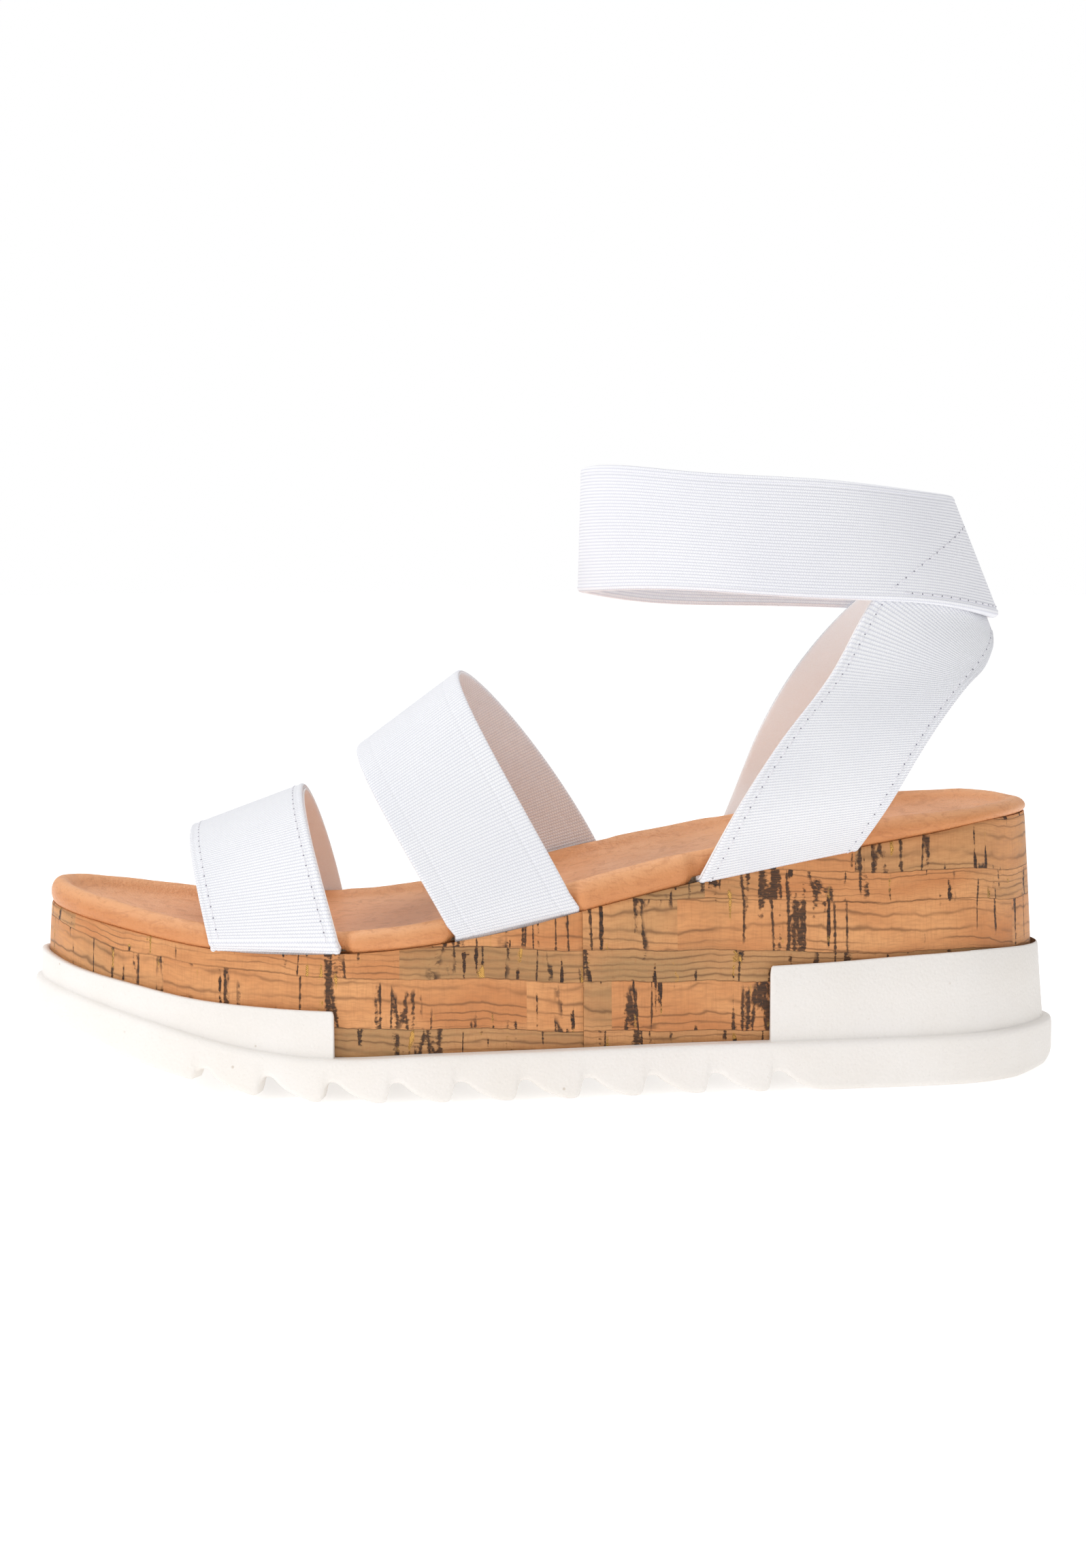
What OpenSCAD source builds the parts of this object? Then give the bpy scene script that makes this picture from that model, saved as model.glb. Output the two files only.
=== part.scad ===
// Wedge sandal, left shoe. Millimetres, +Z up, toe towards -X, outer side towards -Y.
// The origin is on the ground, in the middle of the sole unit.

/* [Sole unit] */
// Length of the sole unit over its ledge
sole_length = 264; // [258:1:270]
// Number of teeth in the saw-tooth tread
tread_teeth = 10; // [8:1:10]
// Distance from tooth to tooth
tread_pitch = 16.1; // [15:0.1:16.5]
// Height of the steep face of a tooth
tread_depth = 5; // [3:0.1:5.5]
// Thickness of the toe wall and heel wall
wall_thickness = 1.7; // [1.2:0.1:1.8]
// Where the toe wall ends, measured along the shoe
toe_wall_end = -56; // [-62:1:-50]
// Where the heel wall begins, measured along the shoe
heel_wall_start = 54.5; // [48:0.5:60]

/* [Wedge] */
// Thickness of the cork wrap
cork_thickness = 1.5; // [1:0.1:1.6]
// Where the two cork strips meet
cork_seam = 7.6; // [-12:0.1:20]

/* [Footbed] */
// Thickness of the insole board
board_thickness = 1.5; // [1:0.1:1.6]
// Thickness of the leather cover
leather_thickness = 1; // [0.8:0.1:1.2]

/* [Straps] */
// Thickness of the elastic of the toe and quarter straps
elastic_thickness = 1.45; // [1.2:0.05:1.5]
// Thickness of the lining under the toe and quarter straps
lining_thickness = 0.7; // [0.5:0.1:0.7]
// Height of the toe strap's rear edge above the ground
toe_strap_height = 73; // [66:1:78]
// Height of the instep strap's rear edge above the ground
instep_strap_height = 102.5; // [96:1:108]

/* [Ankle loop] */
// Width of the elastic of the ankle loop
ankle_band_width = 30; // [27:1:31]
// Thickness of the ankle loop
ankle_band_thickness = 1.5; // [1.2:0.1:1.6]
// Distance across the ankle loop, side to side
ankle_loop_breadth = 50; // [46:1:54]

/* [Hidden] */

lateral = -1;
medial = 1;
half_length = sole_length / 2;
far = 400;

// Gap left for cement between pieces that lie on each other.
glue = 0.1;

// ---- Heights along the shoe, as [distance along the shoe, height] ----
ledge_top = [[-132, 24.6], [-123, 22.9], [-102, 18.2], [-78, 12.8], [-66, 11.3], [-30, 11.8], [132, 12.8]];
toe_wall_top = [[-132, 31.5], [-124, 29.6], [-108, 27.1], [-92, 24.5], [-72, 23], [-50, 22.4]];
heel_wall_top = [[48, 31.2], [73, 32.2], [97, 33.4], [114, 33.6], [132, 32.3]];
cork_top = [[-132, 43.8], [-108, 39.8], [-96, 37.9], [-84, 36.4], [-68, 36.4], [-41, 37.5], [-16, 40.9],
            [8, 46.3], [33, 51.9], [58, 56.9], [97, 63.5], [113, 65.8], [132, 66.6]];
// Height of the rolled rim and of the dish floor, both above the top of the cork.
rim_rise = [[-132, 7], [-90, 5.7], [-45, 5.2], [5, 7.8], [50, 7.2], [85, 6], [105, 4.3], [132, 3]];
floor_rise = [[-132, 3.9], [-110, 3.3], [80, 3.3], [100, 2], [132, 1.8]];
// The board drops into the seat behind the straps.
board_drop = [[80, 0], [100, -1.6]];

// Distances inside the ledge, as [at the toe, at the heel].
wall_outside = [1.6, 3];
wall_inside = [1.6 + wall_thickness, 3 + wall_thickness];
cork_foot = [3.7, 5.2];
cork_head = [4.8, 7.7];
core_gap = cork_thickness + glue;

// ---- Plan outline of the ledge: toe, outer side, heel, inner side ----
ledge_corners = [[-132, 12], [-121, -13], [-94, -33.5], [-50, -46], [-8, -44.5], [35, -38], [78, -34],
                 [113, -25.5], [132, 2], [115, 31], [78, 38], [35, 35.5], [-8, 38.5], [-52, 46.5],
                 [-94, 44], [-122, 32]];
outline_steps = 4;

function spline(a, b, c, d, t) =
    0.5 * (2 * b + (c - a) * t + (2 * a - 5 * b + 4 * c - d) * t * t + (3 * b - a - 3 * c + d) * t * t * t);

function closed_spline(p, steps, n) =
    [for (i = [0 : n - 1], s = [0 : steps - 1])
        spline(p[(i + n - 1) % n], p[i], p[(i + 1) % n], p[(i + 2) % n], (s + 0.5) / steps)];

function open_spline(p, steps) =
    let (last = len(p) - 1)
    [for (i = [0 : last - 1], s = [0 : steps - 1])
        spline(p[max(i - 1, 0)], p[i], p[i + 1], p[min(i + 2, last)], s / steps), p[last]];

ledge_scale = sole_length / 264;
ledge = [for (p = closed_spline(ledge_corners, outline_steps, len(ledge_corners))) p * ledge_scale];
ring_size = len(ledge);
outer_side = [for (i = [0 : ring_size / 2 - 1]) ledge[i]];
inner_side = [for (i = [ring_size - 1 : -1 : ring_size / 2]) ledge[i]];

function unit(v) = v / norm(v);
function mix(a, b, t) = a + (b - a) * t;
function along(x) = (x + half_length) / sole_length;
function amount(d, x) = is_list(d) ? mix(d[0], d[1], along(x)) : d;

// The ledge outline moved inwards by d, which is one distance or [at the toe, at the heel].
function inset(d) =
    [for (i = [0 : ring_size - 1])
        let (t = unit(ledge[(i + 1) % ring_size] - ledge[(i + ring_size - 1) % ring_size]))
        ledge[i] + [-t.y, t.x] * amount(d, ledge[i].x)];

// Distance from the shoe's middle line to the ledge, moved inwards by d.
function side_y(side, x, d) =
    side == lateral ? lookup(x, outer_side) + d : lookup(x, inner_side) - d;

// A ring at distance d inside the ledge, at the table's height plus a rise.
function ring(d, heights, rise = 0) = [for (p = inset(d)) [p.x, p.y, lookup(p.x, heights) + rise]];
function ring_above(d, heights, rises, share = 1, rise = 0) =
    [for (p = inset(d)) [p.x, p.y, lookup(p.x, heights) + share * lookup(p.x, rises) + rise]];

// ---- Solids ----
// A stack of rings with a ladder of faces across its first and last ring.
module ring_stack(rings) {
    n = len(rings[0]);
    top = (len(rings) - 1) * n;
    polyhedron(
        points = [for (r = rings, p = r) p],
        faces = concat(
            [for (r = [0 : len(rings) - 2], i = [0 : n - 1])
                [r * n + i, (r + 1) * n + i, (r + 1) * n + (i + 1) % n, r * n + (i + 1) % n]],
            [for (i = [0 : n / 2 - 2]) [i, i + 1, n - 2 - i, n - 1 - i]],
            [for (i = [0 : n / 2 - 2]) [top + i, top + n - 1 - i, top + n - 2 - i, top + i + 1]]));
}

// A bar swept through sections of equal size, with closed ends unless it runs round.
module section_sweep(sections, closed = false) {
    n = len(sections[0]);
    count = len(sections);
    polyhedron(
        points = [for (s = sections, p = s) p],
        faces = concat(
            [for (s = [0 : count - (closed ? 1 : 2)], i = [0 : n - 1])
                let (a = s * n, b = ((s + 1) % count) * n, j = (i + 1) % n)
                each i < n / 2 ? [[a + i, b + i, b + j], [a + i, b + j, a + j]]
                               : [[a + i, b + i, a + j], [b + i, b + j, a + j]]],
            closed ? [] : [[for (i = [0 : n - 1]) i], [for (i = [n - 1 : -1 : 0]) (count - 1) * n + i]]));
}

// Outward directions of a ribbon between two edges.
function ribbon_normals(front, rear, closed) =
    let (n = len(front))
    [for (i = [0 : n - 1])
        let (a = closed ? (i + n - 1) % n : max(i - 1, 0), b = closed ? (i + 1) % n : min(i + 1, n - 1))
        unit(cross(rear[i] - front[i], (front[b] + rear[b] - front[a] - rear[a])))];

// A flat strap between two edges, from depth low to depth high along its outward direction.
// It leaves out skip stations at its start and drop stations at its end.
module ribbon(front, rear, low, high, closed = false, skip = 0, drop = 0) {
    normals = ribbon_normals(front, rear, closed);
    section_sweep([for (i = [skip : len(front) - 1 - drop])
        [front[i] + normals[i] * low, rear[i] + normals[i] * low,
         rear[i] + normals[i] * high, front[i] + normals[i] * high]], closed);
}

// The same width of ribbon moved between its edges: from share a to share b of the way.
function between(front, rear, share) = [for (i = [0 : len(front) - 1]) mix(front[i], rear[i], share)];

// A plan outline raised as a prism, and a side view pushed through the width.
module plan(points) {
    translate([0, 0, -far / 2]) linear_extrude(far) polygon(points);
}

module side_view(points) {
    translate([0, far / 2, 0]) rotate([90, 0, 0]) linear_extrude(far) polygon(points);
}

function reversed(list) = [for (i = [len(list) - 1 : -1 : 0]) list[i]];

// ---- Sole unit ----
first_tooth = -91.2;
notch_run = 1.8;
notch_flat = 1.8;

function tooth_lift(i) = i == 0 ? 0.6 : 1;
function ground_z(x) = lookup(x, [[-132, 19.5], [-128, 15.2], [-118, 12], [-109, 8.8], [-91, 4.1], [-75, 1],
                                  [-59, 0], [120, 0], [129, 1.2], [132, 3]]);

// One tooth: its tip, the steep face towards the heel, the notch and the curved run down to the next tip.
function tooth(i) =
    let (x = first_tooth + i * tread_pitch, g = ground_z(x), depth = tread_depth * tooth_lift(i),
         next = ground_z(x + tread_pitch))
    [[x - 1.2, ground_z(x - 1.2)], [x, g + 0.2], [x + 0.9, g + depth * 0.72],
     [x + notch_run, g + depth], [x + notch_run + notch_flat, g + depth * 0.97],
     [x + 5.8, mix(g, next, 0.35) + depth * 0.64], [x + 9.4, mix(g, next, 0.6) + depth * 0.25],
     [x + 12.6, mix(g, next, 0.8) + depth * 0.05]];

tread_line = concat(
    [for (x = [-131.9, -128, -118, -109, -100]) [x, ground_z(x)]],
    [for (i = [0 : tread_teeth - 1]) each tooth(i)],
    [for (x = [first_tooth + tread_teeth * tread_pitch, 120, 129, 131.9]) [x, ground_z(x)]]);

function table_line(table, x0, x1, rise = 0) =
    concat([[x0, lookup(x0, table) + rise]],
           [for (p = table) if (p.x > x0 && p.x < x1) [p.x, p.y + rise]],
           [[x1, lookup(x1, table) + rise]]);

// Side view of a wall between its top line and the ledge.
module wall_view(top_line, x0, x1) {
    side_view(concat(table_line(top_line, x0, x1), [[x1, 11], [x0, 11]]));
}

module outsole() {
    color("#efeeee") union() {
        intersection() {
            plan(ledge);
            side_view(concat(tread_line, reversed(table_line(ledge_top, -131.9, 131.9))));
        }
        difference() {
            intersection() {
                plan(inset(wall_outside));
                union() {
                    wall_view(toe_wall_top, -half_length, toe_wall_end);
                    wall_view(heel_wall_top, heel_wall_start, half_length);
                }
            }
            plan(inset(wall_inside));
        }
    }
}

// ---- Wedge ----
tuck_drop = 0.6;
strap_layer = elastic_thickness + tuck_drop + 0.5;
cement_rise = 0.25;

module wedge_core() {
    color("#d9d2c4") ring_stack([
        ring([cork_foot[0] + core_gap, cork_foot[1] + core_gap], ledge_top, cement_rise),
        ring([cork_head[0] + core_gap, cork_head[1] + core_gap], cork_top, -strap_layer)]);
}

// Feet of the straps along the shoe: [front edge, rear edge] on the outer side, then on the inner side.
toe_feet = [[-85.8, -53.5], [-83, -51.2]];
instep_feet = [[-25.5, 5.8], [-13.5, 18]];
quarter_feet = [[35.6, 76.3], [45.5, 84]];
strap_feet = [toe_feet, instep_feet, quarter_feet];

// The cork is skived down where a strap passes over it.
strap_margin = 7;
function strap_over(x, y) =
    max([for (f = strap_feet) let (s = f[y < 2 ? 0 : 1]) (x > s[0] - strap_margin && x < s[1] + strap_margin) ? 1 : 0]);
function cork_head_z(x, y) = lookup(x, cork_top) - strap_layer * strap_over(x, y);

// One cork strip, as stations of the outline from the inner side round to the outer side.
function cork_section(i) =
    let (o0 = inset(cork_foot)[i], o1 = inset(cork_head)[i],
         n0 = inset(cork_foot + [cork_thickness, cork_thickness])[i],
         n1 = inset(cork_head + [cork_thickness, cork_thickness])[i],
         z0 = lookup(o0.x, ledge_top) + cement_rise, z1 = cork_head_z(o1.x, o1.y))
    [[o0.x, o0.y, z0], [o1.x, o1.y, z1], [n1.x, n1.y, z1], [n0.x, n0.y, z0]];

// Moves a section's points along the shoe until it stands at the seam.
function at_seam(a, b, x) =
    [for (k = [0 : 3]) mix(a[k], b[k], (x - a[k].x) / (b[k].x - a[k].x))];

seam_gap = 0.1;
seam_outer = max([for (i = [0 : ring_size / 2 - 1]) ledge[i].x < cork_seam ? i : 0]);
seam_inner = min([for (i = [ring_size / 2 : ring_size - 1]) ledge[i].x < cork_seam ? i : ring_size]);
seam_margin = 2;

module cork_wrap_front() {
    x = cork_seam - seam_gap / 2;
    sections = concat(
        [at_seam(cork_section(seam_inner), cork_section(seam_inner - 1), x)],
        [for (i = [seam_inner : ring_size - 1]) if (ledge[i].x < x - seam_margin) cork_section(i)],
        [for (i = [0 : seam_outer]) if (ledge[i].x < x - seam_margin) cork_section(i)],
        [at_seam(cork_section(seam_outer), cork_section(seam_outer + 1), x)]);
    color("#b98a5c") section_sweep(sections);
}

module cork_wrap_rear() {
    x = cork_seam + seam_gap / 2;
    sections = concat(
        [at_seam(cork_section(seam_outer), cork_section(seam_outer + 1), x)],
        [for (i = [seam_outer + 1 : seam_inner - 1]) if (ledge[i].x > x + seam_margin) cork_section(i)],
        [at_seam(cork_section(seam_inner), cork_section(seam_inner - 1), x)]);
    color("#a97c50") section_sweep(sections);
}

// ---- Footbed ----
filler_from = -118;
filler_to = 79;
filler_gap = 0.25;
filler_share = 0.36;

module bottom_filler() {
    color("#8f7a5e") intersection() {
        plan([for (p = ledge) [p.x, mix(lookup(p.x, middle_line), p.y, filler_share)]]);
        side_view(concat(table_line(cork_top, filler_from, filler_to, -filler_gap),
                         reversed(table_line(cork_top, filler_from, filler_to, filler_gap - strap_layer))));
    }
}

middle_line = [for (i = [0 : ring_size / 2 - 1])
    [outer_side[i].x, (outer_side[i].y + lookup(outer_side[i].x, inner_side)) / 2]];

function side_of(share) = [cork_head[0] + share, cork_head[1] + share];
board_inset = side_of(2.1);

function board_ring(rise) =
    [for (p = inset(board_inset)) [p.x, p.y, lookup(p.x, cork_top) + lookup(p.x, board_drop) + rise]];

module insole_board() {
    color("#7d6a55") ring_stack([board_ring(0), board_ring(board_thickness)]);
}

// The footbed's outside, from its lower edge over the rolled rim to the dish floor:
// distance inside the cork's head, share of the rim's rise, share of the dish floor's rise.
footbed_rings = [[0.5, 0.03, 0], [-0.2, 0.35, 0], [0.5, 0.8, 0], [2.9, 1, 0], [6.2, 0.65, 0.35], [10.5, 0, 1]];

function footbed_ring(r, in = 0, rise = 0) =
    [for (p = inset(side_of(r[0] + in)))
        [p.x, p.y, lookup(p.x, cork_top) + r[1] * lookup(p.x, rim_rise) + r[2] * lookup(p.x, floor_rise) + rise]];

// The leather's inside: the side rings move in, the top rings move down.
function lined_ring(k, t) =
    footbed_ring(footbed_rings[k], k < 3 ? t : 0, k < 3 ? 0 : -t);

module footbed_cover() {
    last = len(footbed_rings) - 1;
    color("#b5713b") ring_stack(concat(
        [for (k = [last : -1 : 0]) lined_ring(k, leather_thickness)],
        [for (k = [0 : last]) footbed_ring(footbed_rings[k])]));
}

module footbed_foam() {
    last = len(footbed_rings) - 1;
    color("#e7dcc2") ring_stack(concat(
        [board_ring(board_thickness + 0.05)],
        [for (k = [2 : last]) lined_ring(k, leather_thickness + 0.1)]));
}

// ---- Toe and instep straps ----
rim_clear = 1.6;
turned_end = 11;
arch_steps = 20;
arch_fullness = 0.87;
outer_bow = 1.08;
inner_bow = 1.5;

// Distance of a strap's foot inside the ledge.
function foot_inset(x) = amount(cork_head, x) - rim_clear;
function foot(side, x) = [x, side_y(side, x, foot_inset(x)), lookup(x, cork_top)];

// One edge of a strap that arches over the foot, from the outer foot to the inner one.
function arch_edge(x_outer, x_inner, crest) =
    let (a = foot(lateral, x_outer), b = foot(medial, x_inner))
    [for (i = [0 : arch_steps])
        let (turn = 180 * i / arch_steps, c = cos(turn), rise = pow(abs(sin(turn)), arch_fullness),
             across = sign(c) * pow(abs(c), arch_fullness), base = mix(a, b, (1 - c) / 2),
             reach = pow(rise, c > 0 ? outer_bow : inner_bow))
        [mix(base.x, crest.x, reach), mix(a.y, b.y, (1 - across) / 2), mix(base.z, crest.z, rise)]];

// The end turned in under the board, from its tip to the foot.
function turned_in(side, x, low) =
    let (f = foot(side, x), z = f.z - tuck_drop + low)
    [[x, f.y - side * turned_end, z], [x, f.y - side * 2, z], [x, f.y - side * 0.7, z + 0.1],
     [x, f.y - side * 0.1, z + 0.6]];
turned_stations = 4;

function whole_edge(x_outer, x_inner, crest, low) =
    let (arch = arch_edge(x_outer, x_inner, crest))
    concat(turned_in(lateral, x_outer, low), [for (i = [1 : arch_steps - 1]) arch[i]],
           reversed(turned_in(medial, x_inner, low)));

toe_crest_front = [-91.2, 4, toe_strap_height - 10.5];
toe_crest_rear = [-62.2, 2, toe_strap_height];
instep_crest_front = [-48.5, 0, instep_strap_height - 19];
instep_crest_rear = [-22.6, 0, instep_strap_height];
lining_top = lining_thickness + 0.1;
strap_top = lining_top + elastic_thickness;
thread_gap = 0.12;
thread_top = 0.42;
thread_rows = [0.07, 0.93];
thread_share = 0.013;

module thread_ribbons(front, rear) {
    for (row = thread_rows)
        ribbon(between(front, rear, row - thread_share), between(front, rear, row + thread_share),
               strap_top + thread_gap, strap_top + thread_top,
               skip = turned_stations + 1, drop = turned_stations + 1);
}

toe_front = whole_edge(toe_feet[0][0], toe_feet[1][0], toe_crest_front, lining_top);
toe_rear = whole_edge(toe_feet[0][1], toe_feet[1][1], toe_crest_rear, lining_top);

module toe_strap() {
    color("#f1eff2") ribbon(toe_front, toe_rear, lining_top, strap_top);
}

module toe_strap_lining() {
    color("#dcc3b0") ribbon(toe_front, toe_rear, 0, lining_thickness,
                            skip = turned_stations, drop = turned_stations);
}

module toe_strap_thread() {
    color("#faf9fb") thread_ribbons(toe_front, toe_rear);
}

module instep_strap() {
    color("#f1eff2") ribbon(
        whole_edge(instep_feet[0][0], instep_feet[1][0], instep_crest_front, 0),
        whole_edge(instep_feet[0][1], instep_feet[1][1], instep_crest_rear, 0), 0, elastic_thickness);
}

// ---- Ankle loop ----
loop_steps = 36;
loop_foot = [62.4, 51.9, ankle_loop_breadth / 2];
loop_head = [56.5, 45.2, ankle_loop_breadth / 2 - 1.5];
loop_z = 121.1;
loop_fall = [-0.042, -0.08];
loop_tilt = -0.126;
back_sag = 3;

// A point of the loop's inside: angle 0 at the back, negative on the outer side; level 0 is the lower edge.
function loop_point(angle, level, in = 0) =
    let (cx = mix(loop_foot[0], loop_head[0], level), a = mix(loop_foot[1], loop_head[1], level) - in,
         b = mix(loop_foot[2], loop_head[2], level) - in, x = cx + a * cos(angle), y = b * sin(angle),
         back = pow(max(cos(angle), 0), 4))
    [x, y, loop_z + mix(loop_fall[0], loop_fall[1], level) * (x - 60) + loop_tilt * y
           - back_sag * back * (1 - level / 2) + ankle_band_width * level];

function loop_edge(level) = [for (i = [0 : loop_steps - 1]) loop_point(i * 360 / loop_steps, level)];

module ankle_band() {
    color("#f3f1f4") ribbon(reversed(loop_edge(0)), reversed(loop_edge(1)), 0, ankle_band_thickness, true);
}

// ---- Quarter straps ----
join_depth = strap_top + 0.5;

// Edges of a quarter strap above its foot, given for the outer side; the inner strap lies further back.
function quarter_edge(side, rear) =
    let (f = foot(side, quarter_feet[side == lateral ? 0 : 1][rear ? 1 : 0]), back = side == lateral ? 0 : 8,
         in = side == lateral ? 0 : 1,
         tip = rear ? [[109.6 - 2 * in, 16.2 - 2.5 * in, 104.5], [112.2 - 2.2 * in, 9.5 - 2.4 * in, 108.6],
                       [113 - 2 * in, 2.6 - in, 111.5]] : [],
         join = [for (s = rear ? [] : [[66, 0.06], [42, 0.4], [3, 0.8]])
                    loop_point(side * s[0], s[1], join_depth)],
         body = rear ? [[85.2, 31, 74], [94.8, 28.5, 88.5], [104.6, 21, 100]]
                     : [[44.6, 33.5, 70], [55.8, 31.5, 87], [69.4, 26.5, 104]])
    concat([f], [for (p = body) [p[0] + back * max(103 - p[2], 0) / 33, side * p[1], p[2]]],
           [for (p = tip) [p[0], side * p[1], p[2]]], join);

quarter_steps = 5;
function quarter_line(side, rear) =
    let (line = open_spline(quarter_edge(side, rear), quarter_steps)) [for (i = [1 : len(line) - 1]) line[i]];

function quarter_whole(side, rear, low) =
    concat(turned_in(side, quarter_feet[side == lateral ? 0 : 1][rear ? 1 : 0], low), quarter_line(side, rear));

// The ribbon's outward direction depends on the side it is on.
module quarter_ribbon(side, front, rear, low, high, skip = 0, drop = 0) {
    if (side == lateral) ribbon(front, rear, low, high, skip = skip, drop = drop);
    else ribbon(rear, front, low, high, skip = skip, drop = drop);
}

// Swing line of the ankle loop, across the shoe through both quarter straps.
swing = [73.5, 81];
swing_radius = 17;
swing_clear = 0.5;
strap_angle = 54;
swing_room = 9.8;

module swing_round(radius) {
    translate([swing.x, 0, swing.y]) rotate([90, 0, 0]) cylinder(h = far, r = radius, center = true, $fn = 64);
}

// Everything above a line square to the strap, drop below the swing line.
module above_swing(drop) {
    translate([swing.x, 0, swing.y]) rotate([0, 90 - strap_angle, 0])
        translate([0, 0, far / 2 - drop]) cube(far, center = true);
}

module swinging_part() {
    intersection() {
        children();
        union() {
            swing_round(swing_radius);
            above_swing(0);
        }
    }
}

module fixed_part() {
    difference() {
        children();
        swing_round(swing_radius + swing_clear);
        above_swing(swing_room);
    }
}

module quarter_layer(side, low, high, skip = 0) {
    quarter_ribbon(side, quarter_whole(side, false, lining_top), quarter_whole(side, true, lining_top),
                   low, high, skip = skip);
}

module quarter_root(side) {
    color("#f1eff2") fixed_part() quarter_layer(side, lining_top, strap_top);
}

module quarter_root_lining(side) {
    color("#dcc3b0") fixed_part() quarter_layer(side, 0, lining_thickness, skip = turned_stations);
}

module quarter_strap(side) {
    color("#f1eff2") swinging_part() quarter_layer(side, lining_top, strap_top, skip = turned_stations);
}

module quarter_lining(side) {
    color("#dcc3b0") swinging_part() quarter_layer(side, 0, lining_thickness, skip = turned_stations);
}

// The rows stop where the strap goes inside the ankle loop.
hidden_stations = 12;

module quarter_thread(side) {
    front = quarter_whole(side, false, lining_top);
    rear = quarter_whole(side, true, lining_top);
    color("#faf9fb") swinging_part() for (row = thread_rows)
        quarter_ribbon(side, between(front, rear, row - thread_share), between(front, rear, row + thread_share),
                       strap_top + thread_gap, strap_top + thread_top,
                       skip = turned_stations, drop = hidden_stations);
}

module quarter_root_lateral() { quarter_root(lateral); }
module quarter_root_medial() { quarter_root(medial); }
module quarter_root_lining_lateral() { quarter_root_lining(lateral); }
module quarter_root_lining_medial() { quarter_root_lining(medial); }
module quarter_strap_lateral() { quarter_strap(lateral); }
module quarter_strap_medial() { quarter_strap(medial); }
module quarter_lining_lateral() { quarter_lining(lateral); }
module quarter_lining_medial() { quarter_lining(medial); }
module quarter_thread_lateral() { quarter_thread(lateral); }
module quarter_thread_medial() { quarter_thread(medial); }

// The seam that joins the loop to the quarter straps: a triangle on each side of the back.
module join_row(side, from, to) {
    steps = 9;
    lift = 0.15;
    low = [for (i = [0 : steps]) let (s = mix(from, to, i / steps)) loop_point(side * s[0], s[1] - 0.013)];
    high = [for (i = [0 : steps]) let (s = mix(from, to, i / steps)) loop_point(side * s[0], s[1] + 0.013)];
    quarter_ribbon(-side, low, high, ankle_band_thickness + thread_gap + lift,
                   ankle_band_thickness + thread_top + lift);
}

module ankle_join_thread() {
    color("#faf9fb") for (side = [lateral, medial]) {
        join_row(side, [64, 0.09], [8, 0.74]);
        join_row(side, [60, 0.06], [5, 0.06]);
    }
}

outsole();
wedge_core();
cork_wrap_front();
cork_wrap_rear();
bottom_filler();
insole_board();
footbed_foam();
footbed_cover();
toe_strap();
toe_strap_lining();
toe_strap_thread();
instep_strap();
quarter_root_lateral();
quarter_root_medial();
quarter_root_lining_lateral();
quarter_root_lining_medial();
quarter_strap_lateral();
quarter_strap_medial();
quarter_lining_lateral();
quarter_lining_medial();
quarter_thread_lateral();
quarter_thread_medial();
ankle_band();
ankle_join_thread();
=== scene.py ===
"""Wedge sandal, left shoe: the looks. Lengths are in millimetres until a mesh is made."""
import math
import bpy
import numpy as np
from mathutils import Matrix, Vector


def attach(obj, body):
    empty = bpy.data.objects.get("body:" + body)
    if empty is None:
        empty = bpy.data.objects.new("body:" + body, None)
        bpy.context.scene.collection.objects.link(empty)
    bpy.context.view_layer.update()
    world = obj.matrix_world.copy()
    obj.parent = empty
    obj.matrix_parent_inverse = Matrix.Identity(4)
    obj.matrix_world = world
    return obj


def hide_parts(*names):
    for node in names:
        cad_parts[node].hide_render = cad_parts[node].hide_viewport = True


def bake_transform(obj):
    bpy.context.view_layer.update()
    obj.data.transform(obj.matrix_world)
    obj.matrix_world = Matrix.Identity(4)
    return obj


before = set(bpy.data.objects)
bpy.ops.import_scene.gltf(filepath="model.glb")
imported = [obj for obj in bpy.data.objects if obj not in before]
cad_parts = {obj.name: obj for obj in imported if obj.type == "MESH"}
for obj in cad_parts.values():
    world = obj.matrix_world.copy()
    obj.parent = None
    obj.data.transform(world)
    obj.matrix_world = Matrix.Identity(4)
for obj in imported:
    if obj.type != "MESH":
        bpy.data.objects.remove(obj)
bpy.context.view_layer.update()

MM = 0.001
LATERAL, MEDIAL = -1, 1

# ---------------------------------------------------------------- heights along the shoe
# Each table gives places along the shoe, toe first, and a height there. The rises are above the cork's top.
LEDGE_TOP = [(-132, 24.6), (-123, 22.9), (-102, 18.2), (-78, 12.8), (-66, 11.3), (-30, 11.8), (132, 12.8)]
TOE_WALL_TOP = [(-132, 31.5), (-124, 29.6), (-108, 27.1), (-92, 24.5), (-72, 23), (-50, 22.4)]
HEEL_WALL_TOP = [(48, 31.2), (73, 32.2), (97, 33.4), (114, 33.6), (132, 32.3)]
CORK_TOP = [(-132, 43.4), (-108, 39.8), (-96, 37.9), (-84, 36.5), (-68, 36.2), (-41, 37.5), (-16, 40.9),
            (8, 46.3), (33, 51.9), (58, 56.9), (97, 63.5), (113, 65.8), (132, 66.4)]
RIM_RISE = [(-132, 7.0), (-110, 6.4), (-90, 6.0), (-45, 5.2), (5, 7.8), (50, 7.2), (85, 6), (105, 4.3),
            (132, 3)]
FLOOR_RISE = [(-132, 3.9), (-110, 3.3), (80, 3.3), (100, 2), (132, 1.8)]
TOE_WALL_END, HEEL_WALL_START = -56.0, 54.5
CORK_SEAM = 7.6


def smooth_curve(table):
    """A smooth function through a table of (place, height)."""
    xs, zs = (np.array(c, float) for c in zip(*table))
    slopes = np.gradient(zs, xs)

    def at(x):
        x = np.clip(x, xs[0], xs[-1])
        i = np.clip(np.searchsorted(xs, x) - 1, 0, len(xs) - 2)
        h = xs[i + 1] - xs[i]
        t = (x - xs[i]) / h
        return ((2 * t**3 - 3 * t**2 + 1) * zs[i] + (t**3 - 2 * t**2 + t) * h * slopes[i]
                + (3 * t**2 - 2 * t**3) * zs[i + 1] + (t**3 - t**2) * h * slopes[i + 1])
    return at


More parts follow.
